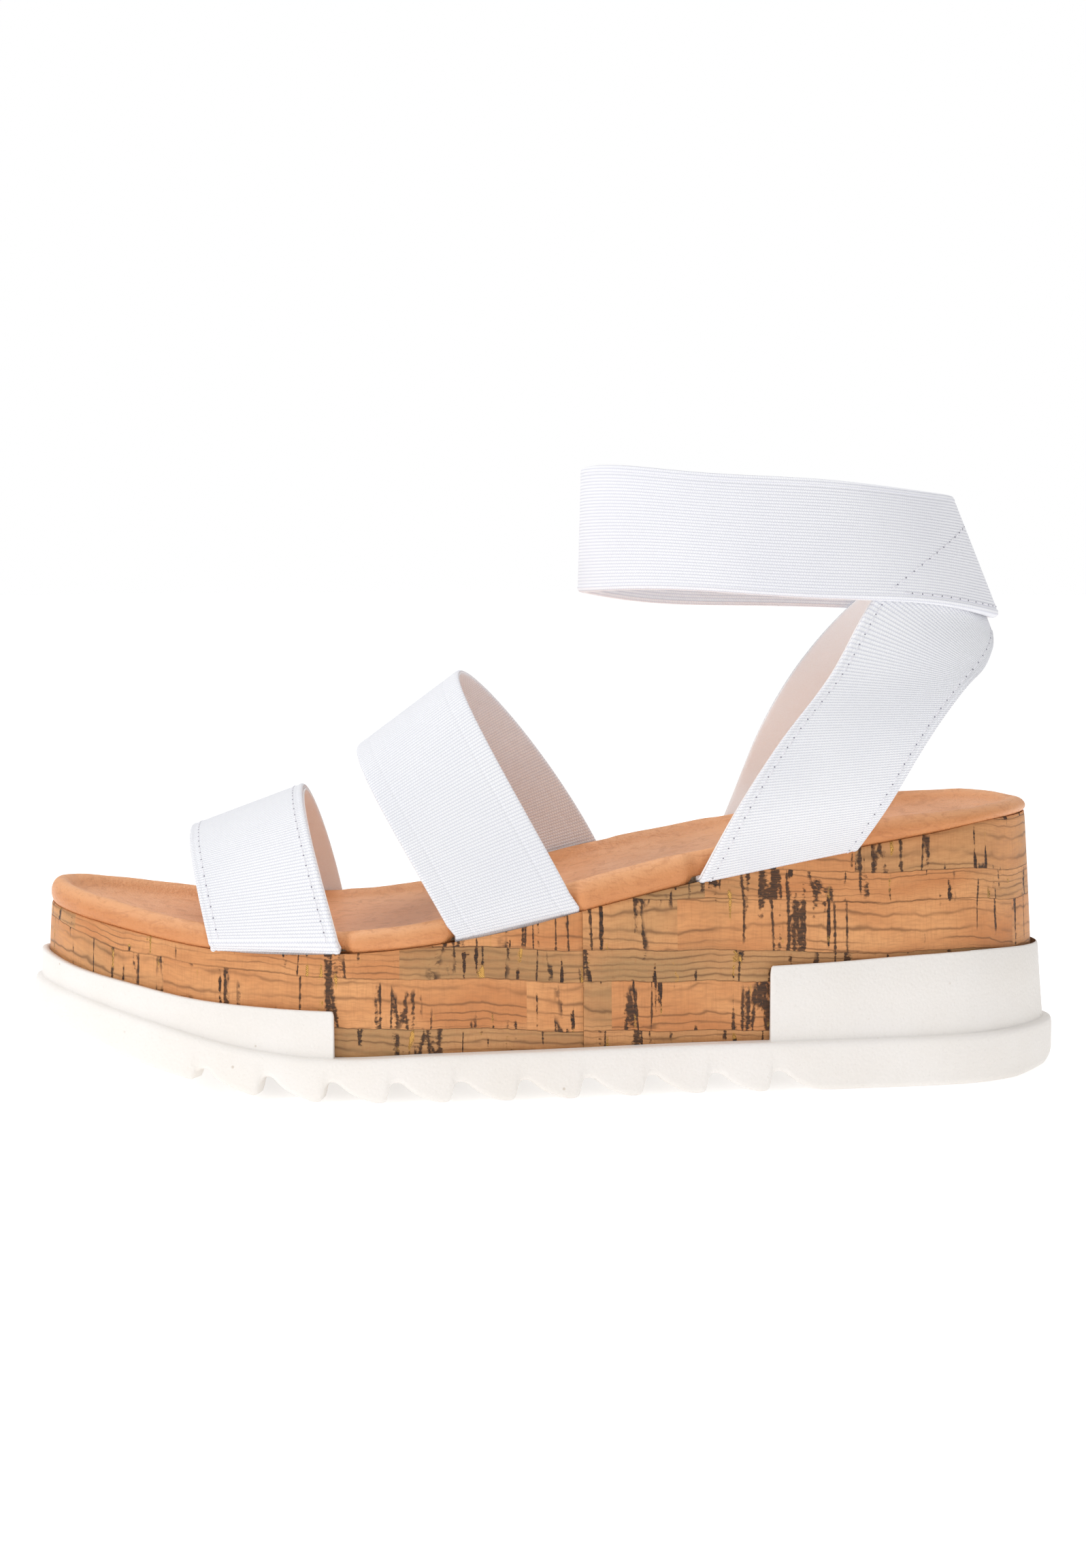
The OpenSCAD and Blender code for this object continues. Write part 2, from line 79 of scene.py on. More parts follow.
ledge_top, toe_wall_top, heel_wall_top = map(smooth_curve, (LEDGE_TOP, TOE_WALL_TOP, HEEL_WALL_TOP))
cork_top, rim_rise, floor_rise = map(smooth_curve, (CORK_TOP, RIM_RISE, FLOOR_RISE))


def smoothstep(a, b, x):
    """Rises smoothly from 0 at a to 1 at b."""
    t = np.clip((x - a) / (b - a), 0, 1)
    return t * t * (3 - 2 * t)


def mix(a, b, t):
    return a + (b - a) * t


# ---------------------------------------------------------------- plan outline of the ledge
LEDGE_CORNERS = np.array([(-132, 12), (-121, -13), (-94, -33.5), (-50, -46), (-8, -44.5), (35, -38),
                          (78, -34), (113, -25.5), (132, 2), (115, 31), (78, 38), (35, 35.5), (-8, 38.5),
                          (-52, 46.5), (-94, 44), (-122, 32)], float)
HALF_LENGTH = 132.0


def spline(p, steps, closed):
    """Points on a smooth curve through p."""
    n = len(p)
    out = []
    for i in range(n if closed else n - 1):
        a, b, c, d = (p[k % n] if closed else p[min(max(k, 0), n - 1)] for k in range(i - 1, i + 3))
        for t in np.arange(steps) / steps:
            out.append(0.5 * (2 * b + (c - a) * t + (2 * a - 5 * b + 4 * c - d) * t**2
                              + (3 * b - a - 3 * c + d) * t**3))
    if not closed:
        out.append(p[-1])
    return np.array(out)


HEEL_CORNER, CORNER_STEPS = 8, 60
ledge_edge = spline(LEDGE_CORNERS, CORNER_STEPS, True)
heel_index = HEEL_CORNER * CORNER_STEPS
outer_half = ledge_edge[:heel_index + 1]
inner_half = np.vstack([ledge_edge[:1], ledge_edge[:heel_index - 1:-1]])


def path_length(p):
    """The length run from the first point to each point."""
    return np.concatenate([[0], np.cumsum(np.linalg.norm(np.diff(p, axis=0), axis=1))])


def sampled(at, run, values, period=None):
    """Rows of values, one for each length in run, read at other lengths."""
    return np.stack([np.interp(at, run, column, period=period) for column in values.T], 1)


def half_stations(half, xs, ends):
    """Places along one side: even steps round the toe, the given xs, and even steps round the heel."""
    s = path_length(half)
    s_toe, s_heel = np.interp([xs[0], xs[-1]], half[:, 0], s)
    toe = s_toe * (np.arange(ends) + 0.5) / (ends + 0.5)
    heel = s_heel + (s[-1] - s_heel) * (np.arange(ends) + 1) / (ends + 0.5)
    at = np.concatenate([toe, np.interp(xs, half[:, 0], s), heel])
    tangent = np.gradient(half, s, axis=0)
    tangent /= np.linalg.norm(tangent, axis=1)[:, None]
    point, turn = sampled(at, s, half), sampled(at, s, tangent)
    return point, turn / np.linalg.norm(turn, axis=1)[:, None]


class Outline:
    """Stations round the ledge, paired across the shoe, with the direction inwards at each."""

    def __init__(self, xs, ends):
        p0, t0 = half_stations(outer_half, xs, ends)
        p1, t1 = half_stations(inner_half, xs, ends)
        self.point = np.vstack([p0, p1[::-1]])
        self.inward = np.vstack([t0[:, ::-1] * (-1, 1), (t1[:, ::-1] * (1, -1))[::-1]])
        self.size = len(self.point)
        self.x = self.point[:, 0]
        self.share = (self.x + HALF_LENGTH) / (2 * HALF_LENGTH)
        closed = np.vstack([self.point, self.point[:1]])
        self.run = path_length(closed)[:-1]

    def ring(self, d, z):
        """The outline moved in by d and raised to z."""
        p = self.point + self.inward * np.broadcast_to(d, self.size)[:, None]
        return np.column_stack([p, np.broadcast_to(z, self.size)])

    def inset(self, toe, heel):
        """A distance that changes evenly from the toe to the heel."""
        return mix(toe, heel, self.share)


# ---------------------------------------------------------------- meshes
def add_object(name, data):
    made = bpy.data.objects.new(name, data)
    bpy.context.scene.collection.objects.link(made)
    return made


def make_mesh(name, points, faces, material, uv=None):
    """A mesh object from points in millimetres; uv is one pair for each corner of each face."""
    mesh = bpy.data.meshes.new(name)
    corners = [tuple(int(k) for k in face) for face in faces]
    mesh.from_pydata([tuple(p) for p in np.asarray(points) * MM], [], corners)
    if uv is not None:
        layer = mesh.uv_layers.new(name="UVMap")
        layer.data.foreach_set("uv", np.asarray(uv, np.float32).ravel())
    mesh.polygons.foreach_set("use_smooth", [True] * len(mesh.polygons))
    mesh.materials.append(material)
    mesh.update()
    return add_object(name, mesh)


def settle(piece, body, node):
    """Puts a piece on its body in place of a plain solid."""
    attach(piece, body)
    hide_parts(node)


OUTWARDS = [0, 3, 2, 1]
DISH_EDGE = 14


def grid_faces(rows, cols, close_rows=False, close_cols=False):
    """Quads of a grid of points, as indices, with the grid place of each corner."""
    r = np.arange(rows if close_rows else rows - 1)
    c = np.arange(cols if close_cols else cols - 1)
    r, c = (a.ravel() for a in np.meshgrid(r, c, indexing="ij"))
    corners = np.stack([np.stack([r, c], 1), np.stack([r + 1, c], 1),
                        np.stack([r + 1, c + 1], 1), np.stack([r, c + 1], 1)], 1)
    index = (corners[..., 0] % rows) * cols + corners[..., 1] % cols
    return index, corners


def cross_columns(first, last, columns, lift=0.0):
    """Points across the shoe between the paired stations of a ring, for a cap."""
    t = (np.arange(1, columns) / columns)[None, :, None]
    grid = first[:, None, :] * (1 - t) + last[:, None, :] * t
    grid[..., 2] += lift * np.sin(np.pi * t[..., 0])
    return grid


def ring_solid(name, rings, material, top_columns, dish=0.0):
    """A closed solid from a stack of paired rings, with a cap of columns at each end."""
    n = len(rings[0])
    half = n // 2
    points = np.vstack(rings)
    side, _ = grid_faces(len(rings), n, close_cols=True)
    # Rings run anticlockwise seen from above, so a face turned this way looks outwards.
    faces = [f[OUTWARDS] for f in side]
    start = len(points)
    for ring_number, up in ((0, False), (len(rings) - 1, True)):
        ring = rings[ring_number]
        width = np.abs(ring[:half, 1] - ring[::-1][:half, 1])
        lift = dish * smoothstep(0, DISH_EDGE, width)[:, None] if up else 0.0
        middle = cross_columns(ring[:half], ring[::-1][:half], top_columns, lift)
        points = np.vstack([points, middle.reshape(-1, 3)])
        index = np.empty((half, top_columns + 1), int)
        index[:, 0] = ring_number * n + np.arange(half)
        index[:, -1] = ring_number * n + np.arange(n - 1, half - 1, -1)
        index[:, 1:-1] = start + np.arange(half * (top_columns - 1)).reshape(half, -1)
        start = len(points)
        for i in range(half - 1):
            for j in range(top_columns):
                quad = [index[i, j], index[i + 1, j], index[i + 1, j + 1], index[i, j + 1]]
                faces.append(quad if up else quad[::-1])
        for i in (0, half - 1):
            rim = list(index[i])
            faces.append(rim if (i == 0) != up else rim[::-1])
    return make_mesh(name, points, faces, material)


def ribbon_frames(front, rear, closed=False, side=LATERAL):
    """Outward direction at each station of a strap between two edges."""
    middle = (front + rear) / 2
    if closed:
        along = np.roll(middle, -1, 0) - np.roll(middle, 1, 0)
    else:
        along = np.gradient(middle, axis=0)
    normal = np.cross(rear - front, along) * -side
    return normal / np.linalg.norm(normal, axis=1)[:, None]


SELVEDGE_GROOVE = 0.14


class Section:
    """Cross-section of a strap: where its outer and inner faces stand at each place across."""

    def __init__(self, width, low, high, rib_pitch=1.3, rib_depth=0.0, selvedge=0.0, roll=0.0, edge=0.4,
                 steps_per_rib=4):
        count = int(round(width / rib_pitch)) * steps_per_rib
        inner = np.linspace(0, 1, count + 1)
        rounding = np.array([0, 0.06, 0.2, 0.45]) * edge / width
        across = np.unique(np.concatenate([inner[1:-1], rounding, 1 - rounding]))
        in_middle = (across > edge / width) & (across < 1 - edge / width)
        at_edges = (across < rounding[-1] + 1e-9) | (across > 1 - rounding[-1] - 1e-9)
        across = across[in_middle | at_edges]
        reach = np.minimum(across, 1 - across) * width
        body = np.sqrt(1 - (1 - np.clip(reach / edge, 0, 1)) ** 2)
        relief = rib_depth * np.cos(2 * np.pi * across * width / rib_pitch)
        relief *= smoothstep(selvedge, selvedge + 0.8, reach)
        if selvedge:
            relief += roll * np.exp(-((reach - selvedge / 2) / (0.32 * selvedge)) ** 2)
            relief -= SELVEDGE_GROOVE * np.exp(-((reach - selvedge) / 0.25) ** 2)
        middle, half = (low + high) / 2, (high - low) / 2
        self.outer = middle + body * (half + relief)
        self.inner = middle - body * (half + 0.6 * relief)
        self.across = across
        self.width = width


def strap_mesh(name, front, rear, section, material, closed=False, side=LATERAL):
    """A strap swept between its two edges, with its own map in millimetres along and across."""
    normal = ribbon_frames(front, rear, closed, side)
    v = section.across
    loop_v = np.concatenate([v, v[::-1]])
    loop_h = np.concatenate([section.outer, section.inner[::-1]])
    base = front[:, None, :] + (rear - front)[:, None, :] * loop_v[None, :, None]
    points = base + normal[:, None, :] * loop_h[None, :, None]
    rows, cols = len(front), len(loop_v)
    index, corners = grid_faces(rows, cols, close_rows=closed, close_cols=True)
    middle = (front + rear) / 2
    run = path_length(np.vstack([middle, middle[:1]]) if closed else middle)
    uv = np.stack([run[np.minimum(corners[..., 0], len(run) - 1)],
                   loop_v[corners[..., 1] % cols] * section.width], -1)
    flip = side == LATERAL
    faces = [f if flip else f[::-1] for f in index]
    uv = uv if flip else uv[:, ::-1]
    uv = list(uv.reshape(-1, 2))
    if not closed:
        for row, turn in ((0, 1), (rows - 1, -1)):
            rim = np.arange(cols) + row * cols
            for j in range(len(v) - 1):
                quad = (rim[j], rim[j + 1], rim[cols - 2 - j], rim[cols - 1 - j])
                faces.append(quad if (turn == 1) == flip else quad[::-1])
                uv += [(run[row], 0.0)] * 4
    return make_mesh(name, points.reshape(-1, 3), faces, material, uv)


# ---------------------------------------------------------------- materials
class Finish:
    """A material and the nodes that make it."""

    def __init__(self, name, **constants):
        self.material = bpy.data.materials.new(name)
        self.material.use_nodes = True
        self.tree = self.material.node_tree
        self.shader = self.tree.nodes["Principled BSDF"]
        for socket, value in constants.items():
            self.shader.inputs[socket.replace("_", " ")].default_value = value

    def node(self, kind, inputs=None, **settings):
        n = self.tree.nodes.new(kind)
        for key, value in settings.items():
            setattr(n, key, value)
        for key, value in (inputs or {}).items():
            self.feed(value, n.inputs[key])
        return n

    def feed(self, value, socket):
        if isinstance(value, bpy.types.NodeSocket):
            self.tree.links.new(value, socket)
        else:
            socket.default_value = value

    def math(self, operation, a, b=0.0, c=0.0):
        return self.node("ShaderNodeMath", {0: a, 1: b, 2: c}, operation=operation).outputs[0]

    def remap(self, value, low, high, to_low=0.0, to_high=1.0):
        return self.node("ShaderNodeMapRange", {"Value": value, "From Min": low, "From Max": high,
                                                "To Min": to_low, "To Max": to_high}).outputs[0]

    def place(self, mapped=True, scale=(1, 1, 1)):
        """Object coordinates in millimetres, or the piece's own map."""
        source = self.node("ShaderNodeTexCoord")
        out = source.outputs["UV" if mapped else "Object"]
        size = scale if mapped else [s / MM for s in scale]
        return self.node("ShaderNodeMapping", {"Vector": out, "Scale": size}).outputs[0]

    def split(self, vector):
        n = self.node("ShaderNodeSeparateXYZ", {0: vector})
        return n.outputs[0], n.outputs[1], n.outputs[2]

    def join(self, x, y, z=0.0):
        return self.node("ShaderNodeCombineXYZ", {0: x, 1: y, 2: z}).outputs[0]

    def noise(self, vector, scale, detail=3.0, rough=0.55, distortion=0.0):
        return self.node("ShaderNodeTexNoise", {"Vector": vector, "Scale": scale, "Detail": detail,
                                                "Roughness": rough, "Distortion": distortion}).outputs[0]

    def cells(self, vector, scale):
        return self.node("ShaderNodeTexVoronoi", {"Vector": vector, "Scale": scale}).outputs["Distance"]

    def own_value(self, name):
        """A value that the piece's mesh carries."""
        return self.node("ShaderNodeAttribute", attribute_name=name).outputs["Fac"]

    def blend(self, factor, a, b):
        n = self.node("ShaderNodeMix", {"Factor": factor}, data_type="RGBA")
        self.feed(colour(a), n.inputs[6])
        self.feed(colour(b), n.inputs[7])
        return n.outputs[2]

    def finish(self, base, roughness=None, height=None, depth=0.1):
        """Joins the colour, roughness and relief to the shader; depth is in millimetres."""
        self.feed(base, self.shader.inputs["Base Color"])
        if roughness is not None:
            self.feed(roughness, self.shader.inputs["Roughness"])
        if height is not None:
            bump = self.node("ShaderNodeBump", {"Height": height, "Distance": depth * MM, "Strength": 1.0})
            self.feed(bump.outputs[0], self.shader.inputs["Normal"])
        return self.material


def colour(value):
    """A colour from 0-255 display values, as the shader wants it."""
    if isinstance(value, bpy.types.NodeSocket):
        return value
    linear = [(v / 255 / 12.92) if v <= 10 else ((v / 255 + 0.055) / 1.055) ** 2.4 for v in value]
    return (*linear, 1.0)


def elastic_finish(name, row_pitch, gap_pitch, cross_rows, light, gap_shade):
    """Woven elastic: rows of threads with a small gap at every step, each row set half a step on. The gaps
    are painted in a darker shade colour.

    The rows run along the strap, or across it where cross_rows is set."""
    f = Finish(name, Roughness=0.82, Sheen_Weight=0.2, Sheen_Roughness=0.5, Specular_IOR_Level=0.3)
    along, across, _ = f.split(f.place())
    row_at, gap_at = (along, across) if cross_rows else (across, along)
    row_place = f.math("DIVIDE", row_at, row_pitch)
    row = f.math("MULTIPLY_ADD", f.math("COSINE", f.math("MULTIPLY", row_place, 2 * math.pi)), 0.5, 0.5)
    step = f.math("MULTIPLY", f.math("ROUND", row_place), 0.5)
    gap_place = f.math("ADD", f.math("DIVIDE", gap_at, gap_pitch), step)
    gap = f.math("MULTIPLY_ADD", f.math("COSINE", f.math("MULTIPLY", gap_place, 2 * math.pi)), 0.5, 0.5)
    fibre = f.noise(f.place(scale=(0.9, 2.4, 1)), 2.2, 4.0)
    patch = f.noise(f.place(mapped=False), 0.035, 2.0)
    weave = f.math("ADD", f.math("MULTIPLY", f.math("POWER", row, 0.5), 0.62), f.math("MULTIPLY", gap, 0.38))
    shade = f.math("ADD", f.remap(weave, 0.12, 0.72), f.remap(fibre, 0.3, 0.7, -0.12, 0.12))
    # The weave's gaps take the gap_shade colour, a lavender grey: painted shade between the threads.
    base = f.blend(shade, gap_shade, light)
    tint = f.blend(f.remap(patch, 0.35, 0.65, 0.0, 0.35), base, f.blend(0.5, base, gap_shade))
    height = f.math("ADD", weave, f.math("MULTIPLY", fibre, 0.3))
    return f.finish(tint, None, height, 0.15)


def thread_finish(name, light, shade):
    """Twisted sewing thread."""
    f = Finish(name, Roughness=0.6, Sheen_Weight=0.2)
    x, y, z = f.split(f.place(mapped=False))
    twist = f.math("SINE", f.math("MULTIPLY", f.math("ADD", f.math("ADD", x, y), z), 14.0))
    ply = f.math("MULTIPLY_ADD", twist, 0.5, 0.5)
    return f.finish(f.blend(ply, shade, light), None, ply, 0.05)


def lining_finish():
    """Brushed microfibre with a fine nap."""
    f = Finish("lining_microfibre", Roughness=0.9, Sheen_Weight=0.5, Sheen_Roughness=0.4)
    place = f.place(mapped=False)
    nap = f.noise(place, 2.6, 5.0, 0.7)
    cloud = f.noise(place, 0.06, 2.0)
    base = f.blend(f.remap(nap, 0.3, 0.7), (250, 247, 247), (254, 254, 255))
    base = f.blend(f.remap(cloud, 0.35, 0.65, 0.0, 0.35), base, (247, 242, 240))
    return f.finish(base, f.remap(nap, 0.3, 0.7, 0.8, 0.95), nap, 0.12)


def leather_finish():
    """Tan leather: pebble grain, creases round the rolled rim with painted shade in their hollows, and
    painted light: lighter along its crest and in the dish.
    """
    f = Finish("tan_leather", Specular_IOR_Level=0.42, Coat_Weight=0.06, Coat_Roughness=0.35)
    place = f.place(mapped=False)
    grain = f.cells(place, 1.5)
    fine = f.noise(place, 2.4, 4.0, 0.6)
    creases = f.noise(f.place(mapped=False, scale=(0.55, 0.55, 1.7)), 0.42, 5.0, 0.65, 1.2)
    cloud = f.noise(place, 0.035, 3.0, 0.5)
    mottle = f.noise(place, 0.16, 3.0, 0.6)
    dish = f.own_value("dish")
    base = f.blend(f.remap(cloud, 0.35, 0.65), (210, 138, 84), (221, 152, 99))
    base = f.blend(f.remap(mottle, 0.42, 0.68, 0.0, 0.4), base, (206, 134, 82))
    # Painted light: the dish, which the straps shade, is painted lighter.
    base = f.blend(f.math("MULTIPLY", dish, f.remap(mottle, 0.3, 0.7, 0.5, 0.85)), base, (240, 182, 140))
    # Painted highlight: the rim's crest is painted lighter, as light from above would make it.
    base = f.blend(f.math("MULTIPLY", f.own_value("crest"), 0.55), base, (246, 188, 140))
    # Painted shade: the crease hollows are painted darker.
    base = f.blend(f.remap(creases, 0.36, 0.5, 0.3, 0.0), base, (172, 104, 62))
    height = f.math("ADD", f.math("MULTIPLY", grain, 0.45), f.math("MULTIPLY", fine, 0.3))
    height = f.math("ADD", height, f.math("MULTIPLY", creases, 0.9))
    return f.finish(base, f.remap(fine, 0.3, 0.7, 0.40, 0.56), height, 0.22)


CORK_STRIP, CORK_LENGTH = 10.4, 94.0


def cork_finish():
    """Cork veneer laid in strips: wavy growth lines, upright dark pores, gold showing in the wide ones."""
    f = Finish("cork_veneer", Specular_IOR_Level=0.35, Coat_Weight=0.04, Coat_Roughness=0.4)
    run, up, _ = f.split(f.place())
    along, _, _ = f.split(f.place(mapped=False))
    toe = f.math("MINIMUM", f.math("ADD", along, 70.0), 0.0)
    level = f.math("ADD", up, f.math("MULTIPLY", along, 0.035))
    level = f.math("ADD", level, f.math("MULTIPLY", f.math("MULTIPLY", toe, toe), -0.002))
    drift = f.noise(f.join(f.math("MULTIPLY", run, 0.018), 0.0, 3.0), 1.0, 2.0)
    ragged = f.noise(f.join(f.math("MULTIPLY", run, 0.35), 0.0, 8.0), 1.0, 2.0)
    level = f.math("ADD", level, f.math("MULTIPLY_ADD", drift, 6.5, f.math("MULTIPLY", ragged, 0.7)))
    level = f.math("ADD", level, f.math("MULTIPLY", f.math("SINE", f.math("MULTIPLY", level, 0.33)), 1.5))
    row_place = f.math("DIVIDE", level, CORK_STRIP)
    row = f.math("FLOOR", row_place)
    row_own = f.node("ShaderNodeTexWhiteNoise", {"Vector": f.join(row, 3.0)}).outputs["Value"]
    piece = f.math("FLOOR", f.math("DIVIDE", f.math("MULTIPLY_ADD", row_own, 90.0, run), CORK_LENGTH))
    own = f.node("ShaderNodeTexWhiteNoise", {"Vector": f.join(row, piece, 1.0)}).outputs["Value"]
    reach = f.math("MULTIPLY", f.math("PINGPONG", row_place, 0.5), CORK_STRIP)
    faint = f.noise(f.join(f.math("MULTIPLY", run, 0.05), row, 2.0), 1.0, 2.0)
    joint = f.math("MULTIPLY", f.remap(reach, 0.07, 0.2, 1.0, 0.0), f.remap(faint, 0.35, 0.6, 0.25, 1.0))
    shift = f.math("MULTIPLY", own, 37.0)
    lx, ly, lz = f.math("ADD", run, shift), level, shift

    def grain(across, upwards, seed=0.0, detail=2.0, rough=0.5):
        """Noise stretched to the given number of features a millimetre."""
        stretched_x, stretched_y = f.math("MULTIPLY", lx, across), f.math("MULTIPLY", ly, upwards)
        return f.noise(f.join(stretched_x, stretched_y, f.math("ADD", lz, seed)), 1.0, detail, rough)

    def off_middle(value):
        return f.math("ABSOLUTE", f.math("SUBTRACT", value, 0.5))

    cloud = grain(0.035, 0.10, 1.0, 3.0)
    olive = f.math("MULTIPLY_ADD", own, 0.16, grain(0.016, 0.03, 2.0, 2.0))
    fine = grain(0.35, 2.6, 3.0, 3.0)
    upright = grain(2.4, 0.25, 4.0, 3.0)
    base = f.blend(f.remap(cloud, 0.33, 0.66), (203, 133, 80), (226, 162, 106))
    base = f.blend(f.remap(own, 0.2, 1.0, 0.0, 0.5), base, (206, 154, 104))
    base = f.blend(f.remap(olive, 0.54, 0.72, 0.0, 0.66), base, (166, 134, 90))
    base = f.blend(f.remap(fine, 0.35, 0.6, 0.26, 0.0), base, (162, 106, 64))
    base = f.blend(f.remap(upright, 0.3, 0.5, 0.24, 0.0), base, (172, 112, 68))
    # Growth lines.
    ripple = f.math("MULTIPLY_ADD", lx, 0.42, f.math("MULTIPLY", cloud, 14.0))
    scallop = f.math("MULTIPLY", f.math("ABSOLUTE", f.math("SINE", ripple)), 0.11)
    wander = f.math("ADD", f.math("MULTIPLY", grain(0.035, 0.12, 5.0, 3.0, 0.5), 2.6), scallop)
    place = f.math("ADD", f.math("MULTIPLY", ly, 0.42), wander)
    wave = f.math("MULTIPLY_ADD", f.math("COSINE", f.math("MULTIPLY", place, 2 * math.pi)), 0.5, 0.5)
    growth = f.math("MULTIPLY", f.math("POWER", wave, 9.0), f.remap(grain(0.035, 0.3, 6.0), 0.38, 0.62))
    base = f.blend(f.math("MULTIPLY", growth, 0.75), base, (122, 80, 46))
    base = f.blend(f.math("MULTIPLY", f.math("MULTIPLY", f.math("POWER", wave, 2.0), 0.3),
                          f.remap(olive, 0.52, 0.68)), base, (110, 88, 58))
    # Thin upright pores in crowds, and a few wide ones.
    bead = f.math("MULTIPLY", f.math("SUBTRACT", grain(0.9, 1.1, 7.0, 3.0), 0.5), 0.075)
    thin = f.math("ADD", off_middle(grain(0.15, 0.010, 8.0, 2.0)), bead)
    crowd = f.remap(f.math("MULTIPLY_ADD", grain(0.22, 0.12, 10.0, 1.0), 0.5, grain(0.035, 0.05, 9.0, 1.0)),
                    0.70, 0.75)
    thin = f.math("MULTIPLY", f.remap(thin, 0.009, 0.025, 1.0, 0.0), crowd)
    torn = f.math("MULTIPLY_ADD", grain(0.55, 0.5, 12.0, 4.0, 0.7), 0.24, f.math("MULTIPLY", crowd, 0.03))
    wide = f.math("ADD", grain(0.42, 0.045, 11.0, 1.5, 0.45), torn)
    halo = f.remap(wide, 0.785, 0.815)
    wide = f.remap(wide, 0.812, 0.832)
    dark = f.blend(f.remap(fine, 0.4, 0.62), (38, 24, 16), (84, 52, 30))
    hatch = f.math("MULTIPLY_ADD", f.math("SINE", f.math("MULTIPLY", lx, 11.0)),
                   f.math("SINE", f.math("MULTIPLY", ly, 11.0)), 0.3)
    gold = f.math("MULTIPLY", f.math("MAXIMUM", wide, f.math("MULTIPLY", halo, 0.6)),
                  f.remap(grain(0.13, 0.09, 13.0), 0.52, 0.56))
    gold = f.math("MULTIPLY", gold, f.remap(hatch, -0.4, 0.4, 0.35, 1.0))
    base = f.blend(f.math("MULTIPLY", halo, 0.5), base, (146, 96, 54))
    base = f.blend(f.math("MULTIPLY", thin, 0.94), base, dark)
    base = f.blend(wide, base, dark)
    base = f.blend(gold, base, (226, 170, 84))
    base = f.blend(f.math("MULTIPLY", joint, 0.5), base, (100, 66, 40))
    sink = f.math("MULTIPLY", f.math("MAXIMUM", joint, f.math("MAXIMUM", thin, wide)), -0.8)
    height = f.math("ADD", sink, f.math("MULTIPLY_ADD", fine, 0.35, f.math("MULTIPLY", growth, -0.25)))
    return f.finish(base, f.remap(fine, 0.3, 0.7, 0.46, 0.62), height, 0.25)


def sole_finish():
    """Moulded foam: fine pebbled skin, a few scattered specks, faint scuffs."""
    f = Finish("sole_foam", Specular_IOR_Level=0.35)
    place = f.place(mapped=False)
    pebble = f.cells(place, 1.15)
    fine = f.noise(place, 1.7, 4.0, 0.6)
    cloud = f.noise(place, 0.03, 3.0)
    spot = f.remap(f.cells(place, 0.19), 0.05, 0.085, 1.0, 0.0)
    spot = f.math("MULTIPLY", spot, f.remap(f.noise(place, 0.09, 1.0), 0.55, 0.6))
    base = f.blend(f.remap(cloud, 0.35, 0.65), (236, 231, 225), (240, 236, 232))
    base = f.blend(f.remap(fine, 0.28, 0.42, 0.22, 0.0), base, (212, 204, 194))
    base = f.blend(f.math("MULTIPLY", spot, 0.6), base, (196, 182, 166))
    height = f.math("ADD", f.math("MULTIPLY", pebble, 0.5), f.math("MULTIPLY", fine, 0.5))
    return f.finish(base, f.remap(fine, 0.3, 0.7, 0.52, 0.68), height, 0.14)


def foam_finish(name, light, dark, scale):
    """Cut foam or pressed board: open cells and crumbs."""
    f = Finish(name, Roughness=0.9)
    place = f.place(mapped=False)
    cell = f.cells(place, scale)
    cloud = f.noise(place, 0.2 * scale, 3.0)
    base = f.blend(f.remap(cell, 0.1, 0.7), dark, light)
    base = f.blend(f.remap(cloud, 0.4, 0.65, 0.0, 0.4), base, dark)
    return f.finish(base, None, cell, 0.3)


def hole_finish():
    """The shadowed mouth of a needle hole."""
    f = Finish("needle_hole", Roughness=0.95, Specular_IOR_Level=0.05)
    grit = f.noise(f.place(mapped=False), 4.0, 2.0)
    return f.finish(f.blend(grit, (122, 119, 132), (158, 155, 168)), None, grit, 0.05)


BAND_RIB, STRAP_RIB = 0.8, 1.1
# Each elastic's second colour is its painted gap shade.
band_elastic = elastic_finish("band_elastic", BAND_RIB, 0.62, False, (247, 247, 250), (218, 219, 230))
strap_elastic = elastic_finish("strap_elastic", 0.78, 0.62, True, (247, 247, 249), (217, 219, 229))
thread = thread_finish("white_thread", (250, 249, 251), (222, 221, 230))
lining = lining_finish()
leather = leather_finish()
cork = cork_finish()
sole_foam = sole_finish()
needle_hole = hole_finish()
pad_foam = foam_finish("footbed_foam", (236, 226, 200), (214, 200, 168), 1.0)


# ---------------------------------------------------------------- sole unit
TREAD_TEETH, TREAD_PITCH, FIRST_TOOTH = 10, 16.1, -91.2
TREAD_DEPTH, FIRST_DEPTH = 5.0, 0.62 * 5.0
GROUND = smooth_curve([(-132, 19.0), (-128, 15.2), (-118, 12), (-109, 8.8), (-91, 4.1), (-75, 1), (-59, 0),
                       (-50, 0), (-40, 0), (108, 0), (116, 0), (120, 0), (129, 1.2), (132, 3)])

# A tooth behind its tip: distance along the shoe and share of the tread's depth.
TOOTH_FACE = ((0.2, 0.14), (0.6, 0.4), (0.95, 0.72), (1.45, 0.92), (2.2, 1), (3.3, 1), (4.4, 0.9))
TOOTH_BACK = ((5.8, 0.66), (7.4, 0.44), (9.4, 0.25), (11.5, 0.11), (12.8, 0.05))


